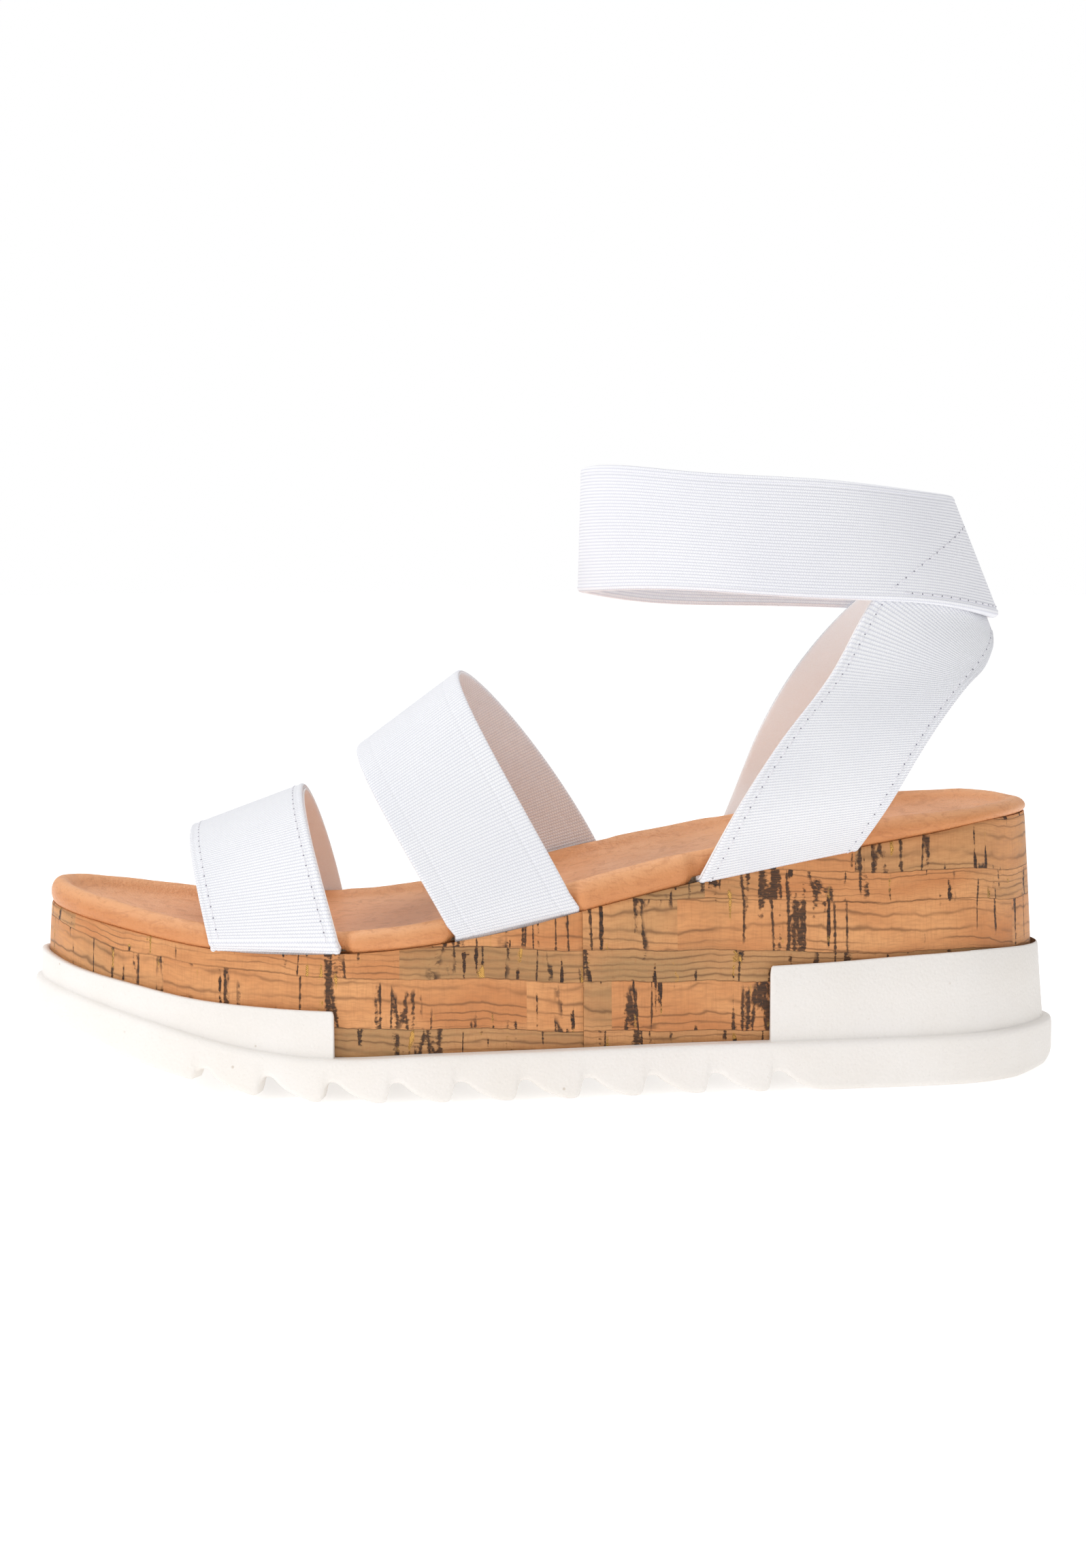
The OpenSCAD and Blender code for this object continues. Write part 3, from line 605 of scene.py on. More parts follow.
def tread_line():
    """The saw-tooth underside: a rounded tip, a steep face, a short flat and a hollow run to the next tip."""
    line = [(x, GROUND(x)) for x in (-132.0, -125.0, -118.0, -110.0, -102.0, -96.0)]
    for i in range(TREAD_TEETH):
        x = FIRST_TOOTH + i * TREAD_PITCH
        depth = TREAD_DEPTH if i else FIRST_DEPTH
        g, following = GROUND(x), GROUND(x + TREAD_PITCH)
        line += [(x - 2.4, GROUND(x - 2.4)), (x - 1.0, g + 0.02), (x - 0.35, g + 0.16)]
        line += [(x + run, g + share * depth) for run, share in TOOTH_FACE]
        line += [(x + run, mix(g, following, run / TREAD_PITCH) + share * depth) for run, share in TOOTH_BACK]
    end = FIRST_TOOTH + TREAD_TEETH * TREAD_PITCH
    line += [(x, GROUND(x)) for x in (end, 90.0, 110.0, 120.0, 129.0, 132.0)]
    return np.array(line)


# The walls' place inside the ledge and their lean, at the toe and at the heel.
WALL_OUTSIDE, WALL_LEAN = (1.6, 2.4), (0.0, 1.5)
WALL_THICKNESS = 1.7
# How a wall rises at its end: distance past the end and share of its height.
WALL_CORNER = np.array([(0.0, 0), (0.1, 0.9), (0.35, 0.98), (0.7, 1)])


def sole_piece():
    """The tread, the ledge, and the toe and heel walls that stand on it."""
    tread = tread_line()
    inner = tread[(tread[:, 0] > -92) & (tread[:, 0] < 66), 0]
    ends = np.append(WALL_CORNER[:, 0], 2.0)
    xs = np.unique(np.round(np.concatenate([inner, TOE_WALL_END - ends, HEEL_WALL_START + ends]), 3))
    o = Outline(xs, 44)
    bottom = np.interp(o.x, tread[:, 0], tread[:, 1])
    ledge = ledge_top(o.x)
    full = np.where(o.x < 0, toe_wall_top(o.x), heel_wall_top(o.x)) - ledge
    past_end = np.where(o.x < 0, TOE_WALL_END - o.x, o.x - HEEL_WALL_START)
    height = full * np.interp(past_end, *WALL_CORNER.T)
    wall = o.inset(*WALL_OUTSIDE)
    lean = o.inset(*WALL_LEAN)
    rise = np.minimum(height, 0.5)
    # From the tread over the ledge and up the wall, then down its inner face: distance inwards and height.
    rows = [(6.0, bottom), (1.4, bottom), (0.6, bottom + 0.2), (0.18, bottom + 0.7), (0.0, bottom + 1.6),
            (0.0, ledge - 1.7), (0.1, ledge - 0.8), (0.42, ledge - 0.22), (1.0, ledge),
            (wall - 0.35, ledge), (wall - 0.08, ledge + 0.2 * rise), (wall, ledge + rise),
            (wall + 0.5 * lean, ledge + 0.5 * height), (wall + lean * 0.95, ledge + height - rise),
            (wall + lean + 0.12, ledge + height - 0.28 * rise), (wall + lean + 0.45, ledge + height),
            (wall + WALL_THICKNESS, ledge + height - 0.1 * rise),
            (wall + WALL_THICKNESS + 0.1, ledge + 0.2 * rise), (12.0, ledge)]
    piece = ring_solid("sole_unit", [o.ring(d, z) for d, z in rows], sole_foam, top_columns=10)
    settle(piece, "sole", "outsole")


# ---------------------------------------------------------------- cork wrap
# The cork's distance inside the ledge, at the toe and at the heel, along its foot and along its upper edge.
CORK_FOOT, CORK_HEAD = (3.7, 5.0), (4.4, 7.7)
VENEER = 0.6
CORK_BELOW, CORK_BULGE, SEAM_GAP = 0.4, 0.25, 0.08
# The front length starts this far along the veneer's pattern, so that it doesn't repeat the rear one.
FRONT_PATTERN = 180.0


def cork_piece(name, front, node):
    """One length of cork, from its lower edge behind the walls to its rounded upper edge."""
    o = Outline(np.unique(np.append(np.arange(-94.4, 96.0, 1.6), CORK_SEAM)), 42)
    foot, head = o.inset(*CORK_FOOT), o.inset(*CORK_HEAD)
    top, ledge = cork_top(o.x), ledge_top(o.x)
    low = ledge - CORK_BELOW
    rows = [(foot + VENEER + 0.6, low), (foot, low)]
    rows += [(mix(foot, head, t) - CORK_BULGE * math.sin(math.pi * t), mix(low, top, t))
             for t in np.linspace(0.06, 0.97, 12)]
    rows += [(head + 0.12, top - 0.06), (head + 0.35, top),
             (head + VENEER, top - 0.15), (head + 1.1, top - 4)]
    rings = np.stack([o.ring(d, z) for d, z in rows])
    seam = np.flatnonzero(np.abs(o.x - CORK_SEAM) < 1e-6)
    order = np.arange(seam[1], seam[0] + o.size + 1) % o.size if front else np.arange(seam[0], seam[1] + 1)
    grid = rings[:, order]
    grid[:, [0, -1], 0] -= SEAM_GAP / 2 if front else -SEAM_GAP / 2
    run = path_length(grid[1])
    start = FRONT_PATTERN if front else 0.0
    rows_n, cols = grid.shape[:2]
    index, corners = grid_faces(rows_n, cols, close_rows=True)
    z = grid[..., 2]
    uv = np.stack([run[corners[..., 1]] + start, z[corners[..., 0] % rows_n, corners[..., 1]]], -1)
    faces = [f[OUTWARDS] for f in index]
    uv = list(uv[:, OUTWARDS].reshape(-1, 2))
    rim = np.arange(rows_n) * cols
    faces += [rim, (rim + cols - 1)[::-1]]
    uv += [(start, 20.0)] * (2 * rows_n)
    settle(make_mesh(name, grid.reshape(-1, 3), faces, cork, uv), "sole", node)


# ---------------------------------------------------------------- footbed
# Where each strap's front and rear edges meet the cork, on the outer side and on the inner side.
TOE_FEET = ((-85.8, -53.5), (-83.0, -51.2))
INSTEP_FEET = ((-25.5, 5.8), (-13.5, 18.0))
QUARTER_FEET = ((35.6, 76.3), (45.5, 84.0))
STRAP_FEET = (TOE_FEET, INSTEP_FEET, QUARTER_FEET)
STRAP_DENT = 2.3
SHOE_MIDDLE = 2


def dent(x, y):
    """How far a strap presses the rim in, from 0 to 1."""
    out = np.zeros_like(x)
    for feet in STRAP_FEET:
        for side, (a, b) in zip((LATERAL, MEDIAL), feet):
            press = smoothstep(a - 2.6, a + 0.6, x) * (1 - smoothstep(b - 0.6, b + 2.6, x))
            out = np.where((y - SHOE_MIDDLE) * side > 0, np.maximum(out, press), out)
    return out


FOOTBED_DISH = -0.8
LEATHER_AND_GLUE = 1.35

# The footbed's outside, from its tucked lower edge over the rolled rim to the dish:
# distance inside the cork's head, share of the rim's rise, share of the dish floor's rise, share of a dent.
FOOTBED_PROFILE = np.array([(3.0, -0.22, 0, 1), (1.3, -0.06, 0, 1), (0.45, 0.1, 0, 1),
                            (-0.15, 0.34, 0, 1), (-0.05, 0.62, 0, 0.9), (0.7, 0.88, 0, 0.7),
                            (1.8, 1.02, 0, 0.4), (3.0, 1.04, 0, 0.15), (4.3, 0.9, 0.08, 0),
                            (5.6, 0.55, 0.4, 0), (7.2, 0.2, 0.78, 0), (9.6, 0, 1, 0)])


def footbed_shape(name, material, inside=0.0):
    """The footbed's outside, or a solid the given distance inside it."""
    o = Outline(np.arange(-93.6, 96.0, 1.2), 56)
    head = o.inset(*CORK_HEAD)
    pressed = dent(o.x, o.point[:, 1])
    # Soft unevenness of the stuffed rim.
    uneven = 0.07 * np.sin(o.run * 0.17 + 1.3) + 0.04 * np.sin(o.run * 0.41) + 0.012 * np.sin(o.run * 1.3)
    rings = []
    for d, rim, floor, give in spline(FOOTBED_PROFILE, 3, False):
        x = (o.point + o.inward * (head + d)[:, None])[:, 0]
        z = cork_top(x) + rim * rim_rise(x) + floor * floor_rise(x)
        z += uneven * rim - 0.7 * pressed * give * rim
        side = inside * (1 - smoothstep(0.5, 2.5, d))
        rings.append(o.ring(head + d + side + STRAP_DENT * pressed * give + 0.5 * uneven * (1 - floor),
                            z - inside * smoothstep(-0.2, 1.5, d)))
    return ring_solid(name, rings, material, top_columns=26, dish=FOOTBED_DISH)


def footbed_pieces():
    """The leather, with its dish and its rim's crest marked for the finish, which paints the dish lighter and
    gives the crest a painted highlight, and the padding under it.
    """
    piece = footbed_shape("footbed_leather", leather)
    x, y, z = (np.array([v.co for v in piece.data.vertices]) / MM).T
    above, rim, floor = z - cork_top(x), rim_rise(x), floor_rise(x) + FOOTBED_DISH
    low = 1 - smoothstep(0.25, 0.75, (above - floor) / (rim - floor))
    from_edge = np.minimum(*(np.abs(y - np.interp(x, *half.T)) for half in (outer_half, inner_half)))
    # Marks for painted light: the dish is painted lighter and the crest gets a painted highlight.
    painted_light_marks = {"dish": low * smoothstep(8, 14, from_edge), "crest": smoothstep(0.45, 1.0, above / rim)}
    for key, values in painted_light_marks.items():
        mark = piece.data.attributes.new(key, "FLOAT", "POINT")
        mark.data.foreach_set("value", values.astype(np.float32))
    padding = footbed_shape("footbed_padding", pad_foam, LEATHER_AND_GLUE)
    settle(piece, "sole", "footbed_cover")
    settle(padding, "sole", "footbed_foam")


# ---------------------------------------------------------------- straps over the foot
# A strap's arch is a little fuller than a half circle. The bows set how its edges lean towards their crests.
ARCH_FULLNESS = 0.87
OUTER_BOW, INNER_BOW = 1.08, 1.15
CREST_ROUND = math.radians(11)
ARCH_STEPS = 150
FOOT_DEPTH = 1.3


def foot(side, x, depth=FOOT_DEPTH, rise=0.0):
    """Where a strap's inner face meets the top of the cork."""
    half = outer_half if side == LATERAL else inner_half
    inset = mix(*CORK_HEAD, (x + HALF_LENGTH) / (2 * HALF_LENGTH)) + depth
    return np.array([x, np.interp(x, half[:, 0], half[:, 1]) - side * inset, cork_top(x) + rise])


def tuck(side, x):
    """The strap's way down between the rim and the cork, from its hidden end upwards."""
    return np.array([foot(side, x, FOOT_DEPTH + 1.7, -4.0), foot(side, x, FOOT_DEPTH + 1.7, -2.4),
                     foot(side, x, FOOT_DEPTH + 1.6, -0.8), foot(side, x, FOOT_DEPTH + 1.1, 0.5),
                     foot(side, x, FOOT_DEPTH + 0.5, 1.6)])


def arch_edge(x_outer, x_inner, crest):
    """One edge of a strap over the foot, from its outer end to its inner end."""
    a, b = foot(LATERAL, x_outer), foot(MEDIAL, x_inner)
    turn = np.pi * np.arange(ARCH_STEPS + 1) / ARCH_STEPS
    c, rise = np.cos(turn), np.sin(turn) ** ARCH_FULLNESS
    across = np.sign(c) * np.abs(c) ** ARCH_FULLNESS
    base = a + (b - a) * ((1 - c) / 2)[:, None]
    # The strap is furthest forward a little before its crest, which rounds the crest's corners.
    bow = ARCH_FULLNESS * np.where(c > 0, OUTER_BOW, INNER_BOW)
    reach = np.sin(turn + CREST_ROUND * np.sin(turn)) ** bow
    arch = np.stack([mix(base[:, 0], crest[0], reach), mix(a[1], b[1], (1 - across) / 2),
                     mix(base[:, 2], crest[2], rise)], 1)
    return np.vstack([tuck(LATERAL, x_outer), arch[3:-3], tuck(MEDIAL, x_inner)[::-1]])


# The highest point of each strap's front and rear edges.
TOE_CREST = ((-91.0, 4.0, 61.2), (-62.2, 2.0, 72.4))
INSTEP_CREST = ((-48.5, 0.0, 83.6), (-22.6, 0.0, 103.0))
LINING = 0.7
ELASTIC = 1.45
STRAP_LOW, STRAP_TOP = LINING + 0.03, LINING + 0.03 + ELASTIC
STRAP_STITCH = 2.95


def row_points(line, outward, pitch, first, hidden=0.0):
    """Stitch places on a line: point, direction along and direction outwards."""
    run = path_length(line)
    at = np.arange(first, run[-1] - hidden, pitch)
    return sampled(at, run, line), sampled(at, run, np.gradient(line, axis=0)), sampled(at, run, outward)


def stitch_tree():
    """Stitches and the needle holes between them, one of each at every point given."""
    tree = bpy.data.node_groups.new("Stitches", "GeometryNodeTree")
    face = tree.interface
    face.new_socket("Geometry", in_out="INPUT", socket_type="NodeSocketGeometry")
    for name, kind in (("Stitch Length", "Float"), ("Thickness", "Float"), ("Hole Step", "Float"),
                       ("Hole Size", "Float"), ("Unevenness", "Float"), ("Seed", "Int"),
                       ("Thread", "Material"), ("Hole", "Material")):
        face.new_socket(name, in_out="INPUT", socket_type="NodeSocket" + kind)
    face.new_socket("Geometry", in_out="OUTPUT", socket_type="NodeSocketGeometry")
    new, link = tree.nodes.new, tree.links.new
    given, result = new("NodeGroupInput"), new("NodeGroupOutput")

    def named(name):
        n = new("GeometryNodeInputNamedAttribute")
        n.data_type = "FLOAT_VECTOR"
        n.inputs["Name"].default_value = name
        return n.outputs["Attribute"]

    along, outward = named("along"), named("outward")
    turn_x, turn_z = new("FunctionNodeAlignRotationToVector"), new("FunctionNodeAlignRotationToVector")
    turn_x.axis, turn_z.axis, turn_z.pivot_axis = "X", "Z", "X"
    link(along, turn_x.inputs["Vector"])
    link(turn_x.outputs[0], turn_z.inputs["Rotation"])
    link(outward, turn_z.inputs["Vector"])

    def vector(x, y, z):
        n = new("ShaderNodeCombineXYZ")
        for value, socket in zip((x, y, z), n.inputs):
            link(value, socket)
        return n.outputs[0]

    def scaled(value, factor):
        n = new("ShaderNodeMath")
        n.operation = "MULTIPLY"
        link(value, n.inputs[0])
        n.inputs[1].default_value = factor
        return n.outputs[0]

    def bead(x, y, z, segments, rings):
        ball, shape = new("GeometryNodeMeshUVSphere"), new("GeometryNodeTransform")
        ball.inputs["Segments"].default_value, ball.inputs["Rings"].default_value = segments, rings
        ball.inputs["Radius"].default_value = 0.5
        link(ball.outputs["Mesh"], shape.inputs["Geometry"])
        link(vector(x, y, z), shape.inputs["Scale"])
        return shape.outputs[0]

    def placed(points, shape, material, uneven):
        put, real = new("GeometryNodeInstanceOnPoints"), new("GeometryNodeRealizeInstances")
        paint = new("GeometryNodeSetMaterial")
        link(points, put.inputs["Points"])
        link(shape, put.inputs["Instance"])
        link(turn_z.outputs[0], put.inputs["Rotation"])
        if uneven:
            chance, low, high = new("FunctionNodeRandomValue"), new("ShaderNodeMath"), new("ShaderNodeMath")
            low.operation, high.operation = "SUBTRACT", "ADD"
            low.inputs[0].default_value = high.inputs[0].default_value = 1.0
            link(given.outputs["Unevenness"], low.inputs[1])
            link(given.outputs["Unevenness"], high.inputs[1])
            link(low.outputs[0], chance.inputs[2])
            link(high.outputs[0], chance.inputs[3])
            link(given.outputs["Seed"], chance.inputs["Seed"])
            link(chance.outputs[1], put.inputs["Scale"])
        link(put.outputs[0], real.inputs[0])
        link(real.outputs[0], paint.inputs["Geometry"])
        link(material, paint.inputs["Material"])
        return paint.outputs[0]

    thickness = given.outputs["Thickness"]
    stitch = bead(given.outputs["Stitch Length"], thickness, scaled(thickness, 0.8), 8, 6)
    hole_size = given.outputs["Hole Size"]
    # The needle holes are flat discs in the needle_hole finish, a painted shade colour for the holes' mouths.
    hole = bead(hole_size, hole_size, scaled(hole_size, 0.3), 8, 4)
    move, step = new("GeometryNodeSetPosition"), new("ShaderNodeVectorMath")
    step.operation = "SCALE"
    link(along, step.inputs[0])
    link(given.outputs["Hole Step"], step.inputs["Scale"])
    link(given.outputs["Geometry"], move.inputs["Geometry"])
    link(step.outputs[0], move.inputs["Offset"])
    both = new("GeometryNodeJoinGeometry")
    link(placed(given.outputs["Geometry"], stitch, given.outputs["Thread"], True), both.inputs[0])
    link(placed(move.outputs[0], hole, given.outputs["Hole"], False), both.inputs[0])
    link(both.outputs[0], result.inputs[0])
    return tree


stitches = stitch_tree()


STITCH_SHARE, STITCH_THICKNESS, HOLE_SIZE = 0.72, 0.42, 0.42


def stitch_rows(name, rows, pitch):
    """A mesh of stitches at the given rows of places."""
    point, along, outward = (np.vstack([r[k] for r in rows]) for k in range(3))
    along = along / np.linalg.norm(along, axis=1)[:, None]
    guide = bpy.data.meshes.new(name + "_guide")
    guide.from_pydata([tuple(p) for p in point * MM], [], [])
    for key, directions in (("along", along), ("outward", outward)):
        mark = guide.attributes.new(key, "FLOAT_VECTOR", "POINT")
        mark.data.foreach_set("vector", directions.astype(np.float32).ravel())
    carrier = add_object(name + "_guide", guide)
    modifier = carrier.modifiers.new("stitches", "NODES")
    modifier.node_group = stitches
    values = {"Stitch Length": pitch * STITCH_SHARE * MM, "Thickness": STITCH_THICKNESS * MM,
              "Hole Step": pitch / 2 * MM, "Hole Size": HOLE_SIZE * MM, "Unevenness": 0.08, "Seed": 7,
              "Thread": thread, "Hole": needle_hole}
    for item in stitches.interface.items_tree:
        if item.in_out == "INPUT" and item.name in values:
            modifier[item.identifier] = values[item.name]
    graph = bpy.context.evaluated_depsgraph_get()
    mesh = bpy.data.meshes.new_from_object(carrier.evaluated_get(graph), depsgraph=graph)
    bpy.data.objects.remove(carrier)
    mesh.name = name
    mesh.polygons.foreach_set("use_smooth", [True] * len(mesh.polygons))
    return add_object(name, mesh)


def strap_row(front, rear, section, share, start, hidden, side=LATERAL):
    """Stitch places along a strap's outer face, a share of its width from its front edge."""
    outward = ribbon_frames(front, rear, side=side)
    height = np.interp(share, section.across, section.outer)
    line = front + (rear - front) * share + outward * height
    return row_points(line, outward, STRAP_STITCH, start + STRAP_STITCH / 2, hidden)


def strap_width(front, rear):
    return float(np.mean(np.linalg.norm(rear - front, axis=1)))


def lined_strap(name, lining_name, front, rear, hidden_end, side=LATERAL):
    """A strap with its lining: both pieces and the strap's section."""
    width = strap_width(front, rear)
    section = Section(width, STRAP_LOW, STRAP_TOP, STRAP_RIB, 0.02, selvedge=1.5, roll=0.1, edge=0.7)
    pad = Section(width, 0.0, LINING, 2.0, 0.0, edge=0.35, steps_per_rib=2)
    strap = strap_mesh(name, front, rear, section, strap_elastic, side=side)
    inside = strap_mesh(lining_name, front[3:hidden_end], rear[3:hidden_end], pad, lining, side=side)
    return strap, inside, section


def toe_strap_pieces():
    front, rear = (arch_edge(*feet, crest) for feet, crest in zip(zip(*TOE_FEET), TOE_CREST))
    strap, inside, section = lined_strap("toe_strap_elastic", "toe_strap_inner_face", front, rear, -3)
    rows = [strap_row(front, rear, section, share, 7.0, 7.0)
            for share in (2.7 / section.width, 1 - 2.6 / section.width)]
    sewing = stitch_rows("toe_strap_stitches", rows, STRAP_STITCH)
    settle(strap, "sole", "toe_strap")
    settle(inside, "sole", "toe_strap_lining")
    settle(sewing, "sole", "toe_strap_thread")


def instep_strap_piece():
    front, rear = (arch_edge(*feet, crest) for feet, crest in zip(zip(*INSTEP_FEET), INSTEP_CREST))
    section = Section(strap_width(front, rear), 0.0, ELASTIC, STRAP_RIB, 0.02, selvedge=4.6, edge=0.7)
    strap = strap_mesh("instep_strap_elastic", front, rear, section, strap_elastic)
    settle(strap, "sole", "instep_strap")


# ---------------------------------------------------------------- ankle loop
BAND_WIDTH, BAND_THICKNESS = 30.0, 2.6
BAND_STITCH = 2.9
# The loop's lower and upper edges: centre along the shoe, half length, half width and fall towards the heel.
LOOP_LOW, LOOP_HIGH = np.array([(62.4, 51.9, 25.0, -0.042), (56.5, 45.2, 23.5, -0.08)])
LOOP_HEIGHT, LOOP_TILT, LOOP_SAG = 121.1, -0.126, 3
# The join's two rows on each side, from and to: degrees from the back and share of the band's width.
JOIN_ROWS = (((64, 0.09), (8, 0.74)), ((60, 0.075), (5, 0.075)))


def loop_point(angle, level, inside=0.0):
    """A point of the loop's inner face: angle 0 at the back, negative on the outer side; level 0 below."""
    angle = np.radians(angle)
    centre, half_length, half_width, fall = (mix(*ends, level) for ends in zip(LOOP_LOW, LOOP_HIGH))
    x = centre + (half_length - inside) * np.cos(angle)
    y = (half_width - inside) * np.sin(angle)
    back = np.maximum(np.cos(angle), 0) ** 4
    z = LOOP_HEIGHT + fall * (x - 60) + LOOP_TILT * y - LOOP_SAG * back * (1 - level / 2) + BAND_WIDTH * level
    return np.stack(np.broadcast_arrays(x, y, z), -1)


LOOP_ANGLES = -np.arange(0, 360, 1.5)


def soft_loop(level):
    """One edge of the loop, with the slow waves of a relaxed band."""
    p = loop_point(LOOP_ANGLES, level)
    t = np.radians(LOOP_ANGLES)
    p[:, 2] += 0.5 * np.sin(2 * t + 0.6 + level) + 0.25 * np.sin(5 * t + 2.0 * level)
    return p


def join_row(low, high, side, start, end):
    """Stitch places along a straight row of the back join, on the band's outer face."""
    t = np.linspace(0, 1, 60)
    turn = np.degrees(np.arccos(mix(*np.cos(np.radians([start[0], end[0]])), t)))
    level = mix(start[1], end[1], t)[:, None]
    lower, upper, outward = (sampled(-side * turn, -LOOP_ANGLES, values, period=360)
                             for values in (low, high, ribbon_frames(low, high, True)))
    line = mix(lower, upper, level) + outward * (BAND_THICKNESS + 0.05)
    return row_points(line, outward, BAND_STITCH, 1.0)


def ankle_band_pieces():
    low, high = soft_loop(0.0), soft_loop(1.0)
    section = Section(strap_width(low, high), 0.0, BAND_THICKNESS, BAND_RIB, 0.05,
                      selvedge=1.9, roll=0.14, edge=1.1)
    band = strap_mesh("ankle_band_elastic", low, high, section, band_elastic, closed=True)
    settle(band, "ankle_strap", "ankle_band")
    rows = [join_row(low, high, side, *ends) for side in (LATERAL, MEDIAL) for ends in JOIN_ROWS]
    sewing = stitch_rows("ankle_join_stitches", rows, BAND_STITCH)
    settle(sewing, "ankle_strap", "ankle_join_thread")


# ---------------------------------------------------------------- quarter straps
JOIN_DEPTH = STRAP_TOP + 0.25
# The outer strap's edges above its feet; the rear edge goes on round the heel to its tip.
QUARTER_FRONT = np.array([(44.6, 33.5, 70), (55.8, 31.5, 87), (69.4, 26.5, 104)])
QUARTER_REAR = np.array([(85.2, 31, 74), (94.8, 28.5, 88.5), (104.6, 21, 100)])
QUARTER_TIP = np.array([(109.6, 16.2, 104.5), (112.2, 9.5, 108.6), (113.2, 1.0, 111.9)])
FRONT_TIP = ((66, 0.06), (42, 0.4), (3, 0.8))
# The inner strap stands further back near its feet, and its tip lies inside the outer one.
INNER_BACK, INNER_BACK_TOP, INNER_BACK_RUN = 8, 103, 33
INNER_TIP_INSET = np.array([(1.6, 2.0, 0), (1.4, 1.6, 0), (0.8, 0.4, 0)])


def quarter_edge(side, rear):
    """The front or rear edge of a quarter strap, from its hidden end up to the back join."""
    inner = side == MEDIAL
    mirror = np.array([1, side, 1])
    x_foot = QUARTER_FEET[int(inner)][int(rear)]
    body = (QUARTER_REAR if rear else QUARTER_FRONT) * mirror
    body[:, 0] += INNER_BACK * inner * np.maximum(INNER_BACK_TOP - body[:, 2], 0) / INNER_BACK_RUN
    if rear:
        tip = (QUARTER_TIP - INNER_TIP_INSET * inner) * mirror
    else:
        tip = np.array([loop_point(side * angle, level, JOIN_DEPTH) for angle, level in FRONT_TIP])
    line = spline(np.vstack([foot(side, x_foot)[None], body, tip]), 24, False)
    return np.vstack([tuck(side, x_foot), line[2:]])


def quarter_strap_pieces(side, name):
    """One quarter strap, running from the sole up to the ankle strap."""
    front, rear = quarter_edge(side, False), quarter_edge(side, True)
    title = "quarter_strap_" + name
    strap, inside, section = lined_strap(title + "_elastic", title + "_lining", front, rear, None, side)
    rows = [strap_row(front, rear, section, share, 6.5, hidden, side)
            for share, hidden in ((2.6 / section.width, 37.0), (1 - 2.5 / section.width, 2.0))]
    sewing = stitch_rows(title + "_stitches", rows, STRAP_STITCH)
    for piece, nodes, slot in ((strap, ("quarter_root_" + name, title), "elastic"),
                               (inside, ("quarter_root_lining_" + name, "quarter_lining_" + name), "lining"),
                               (sewing, ("quarter_thread_" + name,), "thread")):
        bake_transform(piece)
        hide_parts(*nodes)


# ---------------------------------------------------------------- the shoe
sole_piece()
cork_piece("cork_front", True, "cork_wrap_front")
cork_piece("cork_rear", False, "cork_wrap_rear")
footbed_pieces()
toe_strap_pieces()
instep_strap_piece()
ankle_band_pieces()
quarter_strap_pieces(LATERAL, "lateral")
quarter_strap_pieces(MEDIAL, "medial")

inside_looks = {
    "wedge_core": foam_finish("core_foam", (222, 214, 200), (196, 186, 168), 0.9),
    "bottom_filler": foam_finish("cork_filler", (176, 146, 108), (112, 86, 58), 0.6),
    "insole_board": foam_finish("insole_board", (140, 120, 98), (104, 86, 68), 1.2),
}
for node, finish in inside_looks.items():
    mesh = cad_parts[node].data
    mesh.materials.clear()
    mesh.materials.append(finish)


# ---------------------------------------------------------------- studio
FLOOR_RADIUS = 1800
LIGHT_TARGET = Vector((0, 0, 0.07))
BACKDROP_LIGHT, BACKDROP_SEEN = 0.62, 1.0
CAMERA_TARGET = Vector((-0.001, 0, 0.0742))
CAMERA_AZIMUTH, CAMERA_ELEVATION = math.radians(-3.5), math.radians(6.5)
CAMERA_DISTANCE, CAMERA_LENS = 1.1, 98.2


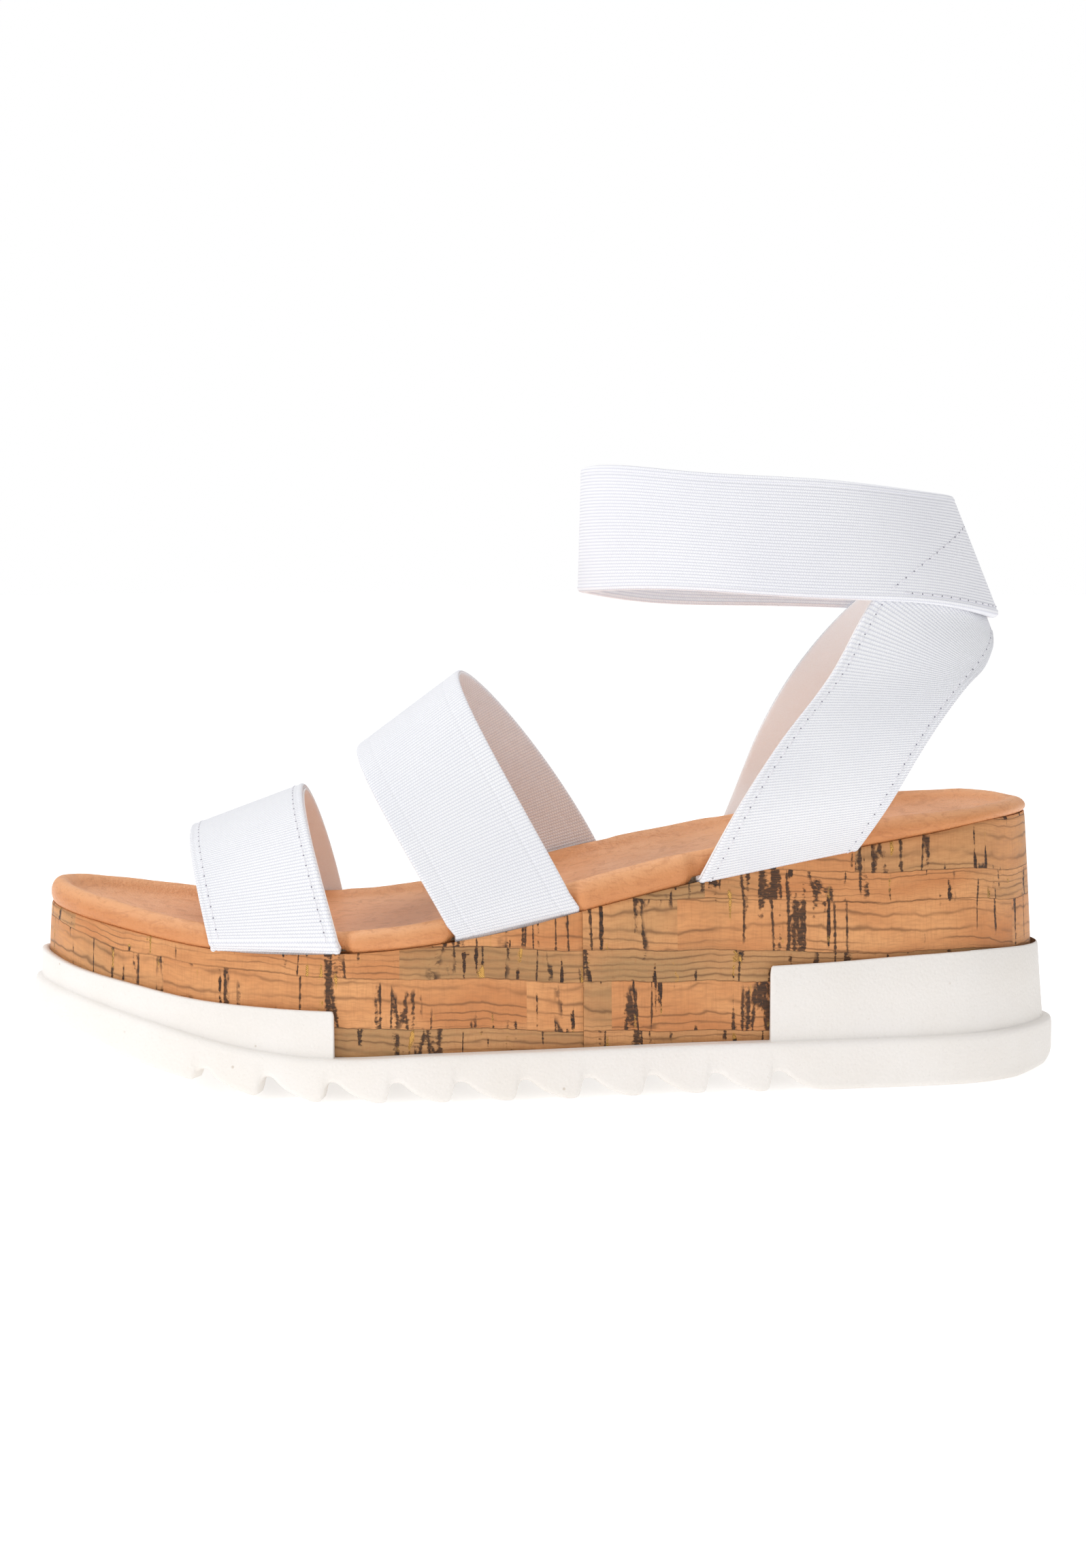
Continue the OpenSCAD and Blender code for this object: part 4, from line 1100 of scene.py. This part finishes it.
def studio_floor():
    """A pale floor with a faint glow of its own."""
    f = Finish("studio_floor", Roughness=0.9)
    cloud = f.noise(f.place(mapped=False), 0.002, 2.0)
    glow = f.math("MULTIPLY_ADD", cloud, 0.02, 0.36)
    f.feed((1.0, 1.0, 1.0, 1.0), f.shader.inputs["Emission Color"])
    f.feed(glow, f.shader.inputs["Emission Strength"])
    f.finish(f.blend(cloud, (250, 250, 250), (254, 254, 254)))
    turn = np.radians(np.arange(0, 360, 7.5))
    points = [(FLOOR_RADIUS * math.cos(a), FLOOR_RADIUS * math.sin(a), 0) for a in turn]
    make_mesh("studio_floor", np.array(points), [tuple(range(len(points)))], f.material)


def aimed(made, place, target):
    """Puts a lamp or camera at a place, turned towards the target."""
    made.location = place
    made.rotation_euler = (target - place).to_track_quat("-Z", "Y").to_euler()
    return made


def soft_light(name, place, size, watts):
    data = bpy.data.lights.new(name, "AREA")
    data.shape, data.size, data.energy = "DISK", size, watts
    aimed(add_object(name, data), Vector(place), LIGHT_TARGET)


def backdrop():
    """A white backdrop that gives a softer light than it shows."""
    world = bpy.data.worlds.new("studio")
    world.use_nodes = True
    tree = world.node_tree
    background = tree.nodes["Background"]
    background.inputs[0].default_value = (1.0, 1.0, 1.0, 1)
    path, level = tree.nodes.new("ShaderNodeLightPath"), tree.nodes.new("ShaderNodeMapRange")
    level.inputs["To Min"].default_value = BACKDROP_LIGHT
    level.inputs["To Max"].default_value = BACKDROP_SEEN
    tree.links.new(path.outputs["Is Camera Ray"], level.inputs["Value"])
    tree.links.new(level.outputs[0], background.inputs[1])
    bpy.context.scene.world = world


def studio_camera():
    data = bpy.data.cameras.new("camera")
    data.lens, data.sensor_width = CAMERA_LENS, 36
    level = math.cos(CAMERA_ELEVATION)
    way = Vector((math.sin(CAMERA_AZIMUTH) * level, -math.cos(CAMERA_AZIMUTH) * level,
                  math.sin(CAMERA_ELEVATION)))
    camera = aimed(add_object("camera", data), CAMERA_TARGET + way * CAMERA_DISTANCE, CAMERA_TARGET)
    bpy.context.scene.camera = camera


studio_floor()
backdrop()
soft_light("key", (-1.5, -0.6, 0.95), 0.6, 8.5)
soft_light("front", (0.2, -1.7, 0.35), 1.0, 1.6)
soft_light("top", (-0.1, 0.2, 1.5), 0.9, 6.0)
studio_camera()
bpy.context.scene.view_settings.view_transform = "Standard"
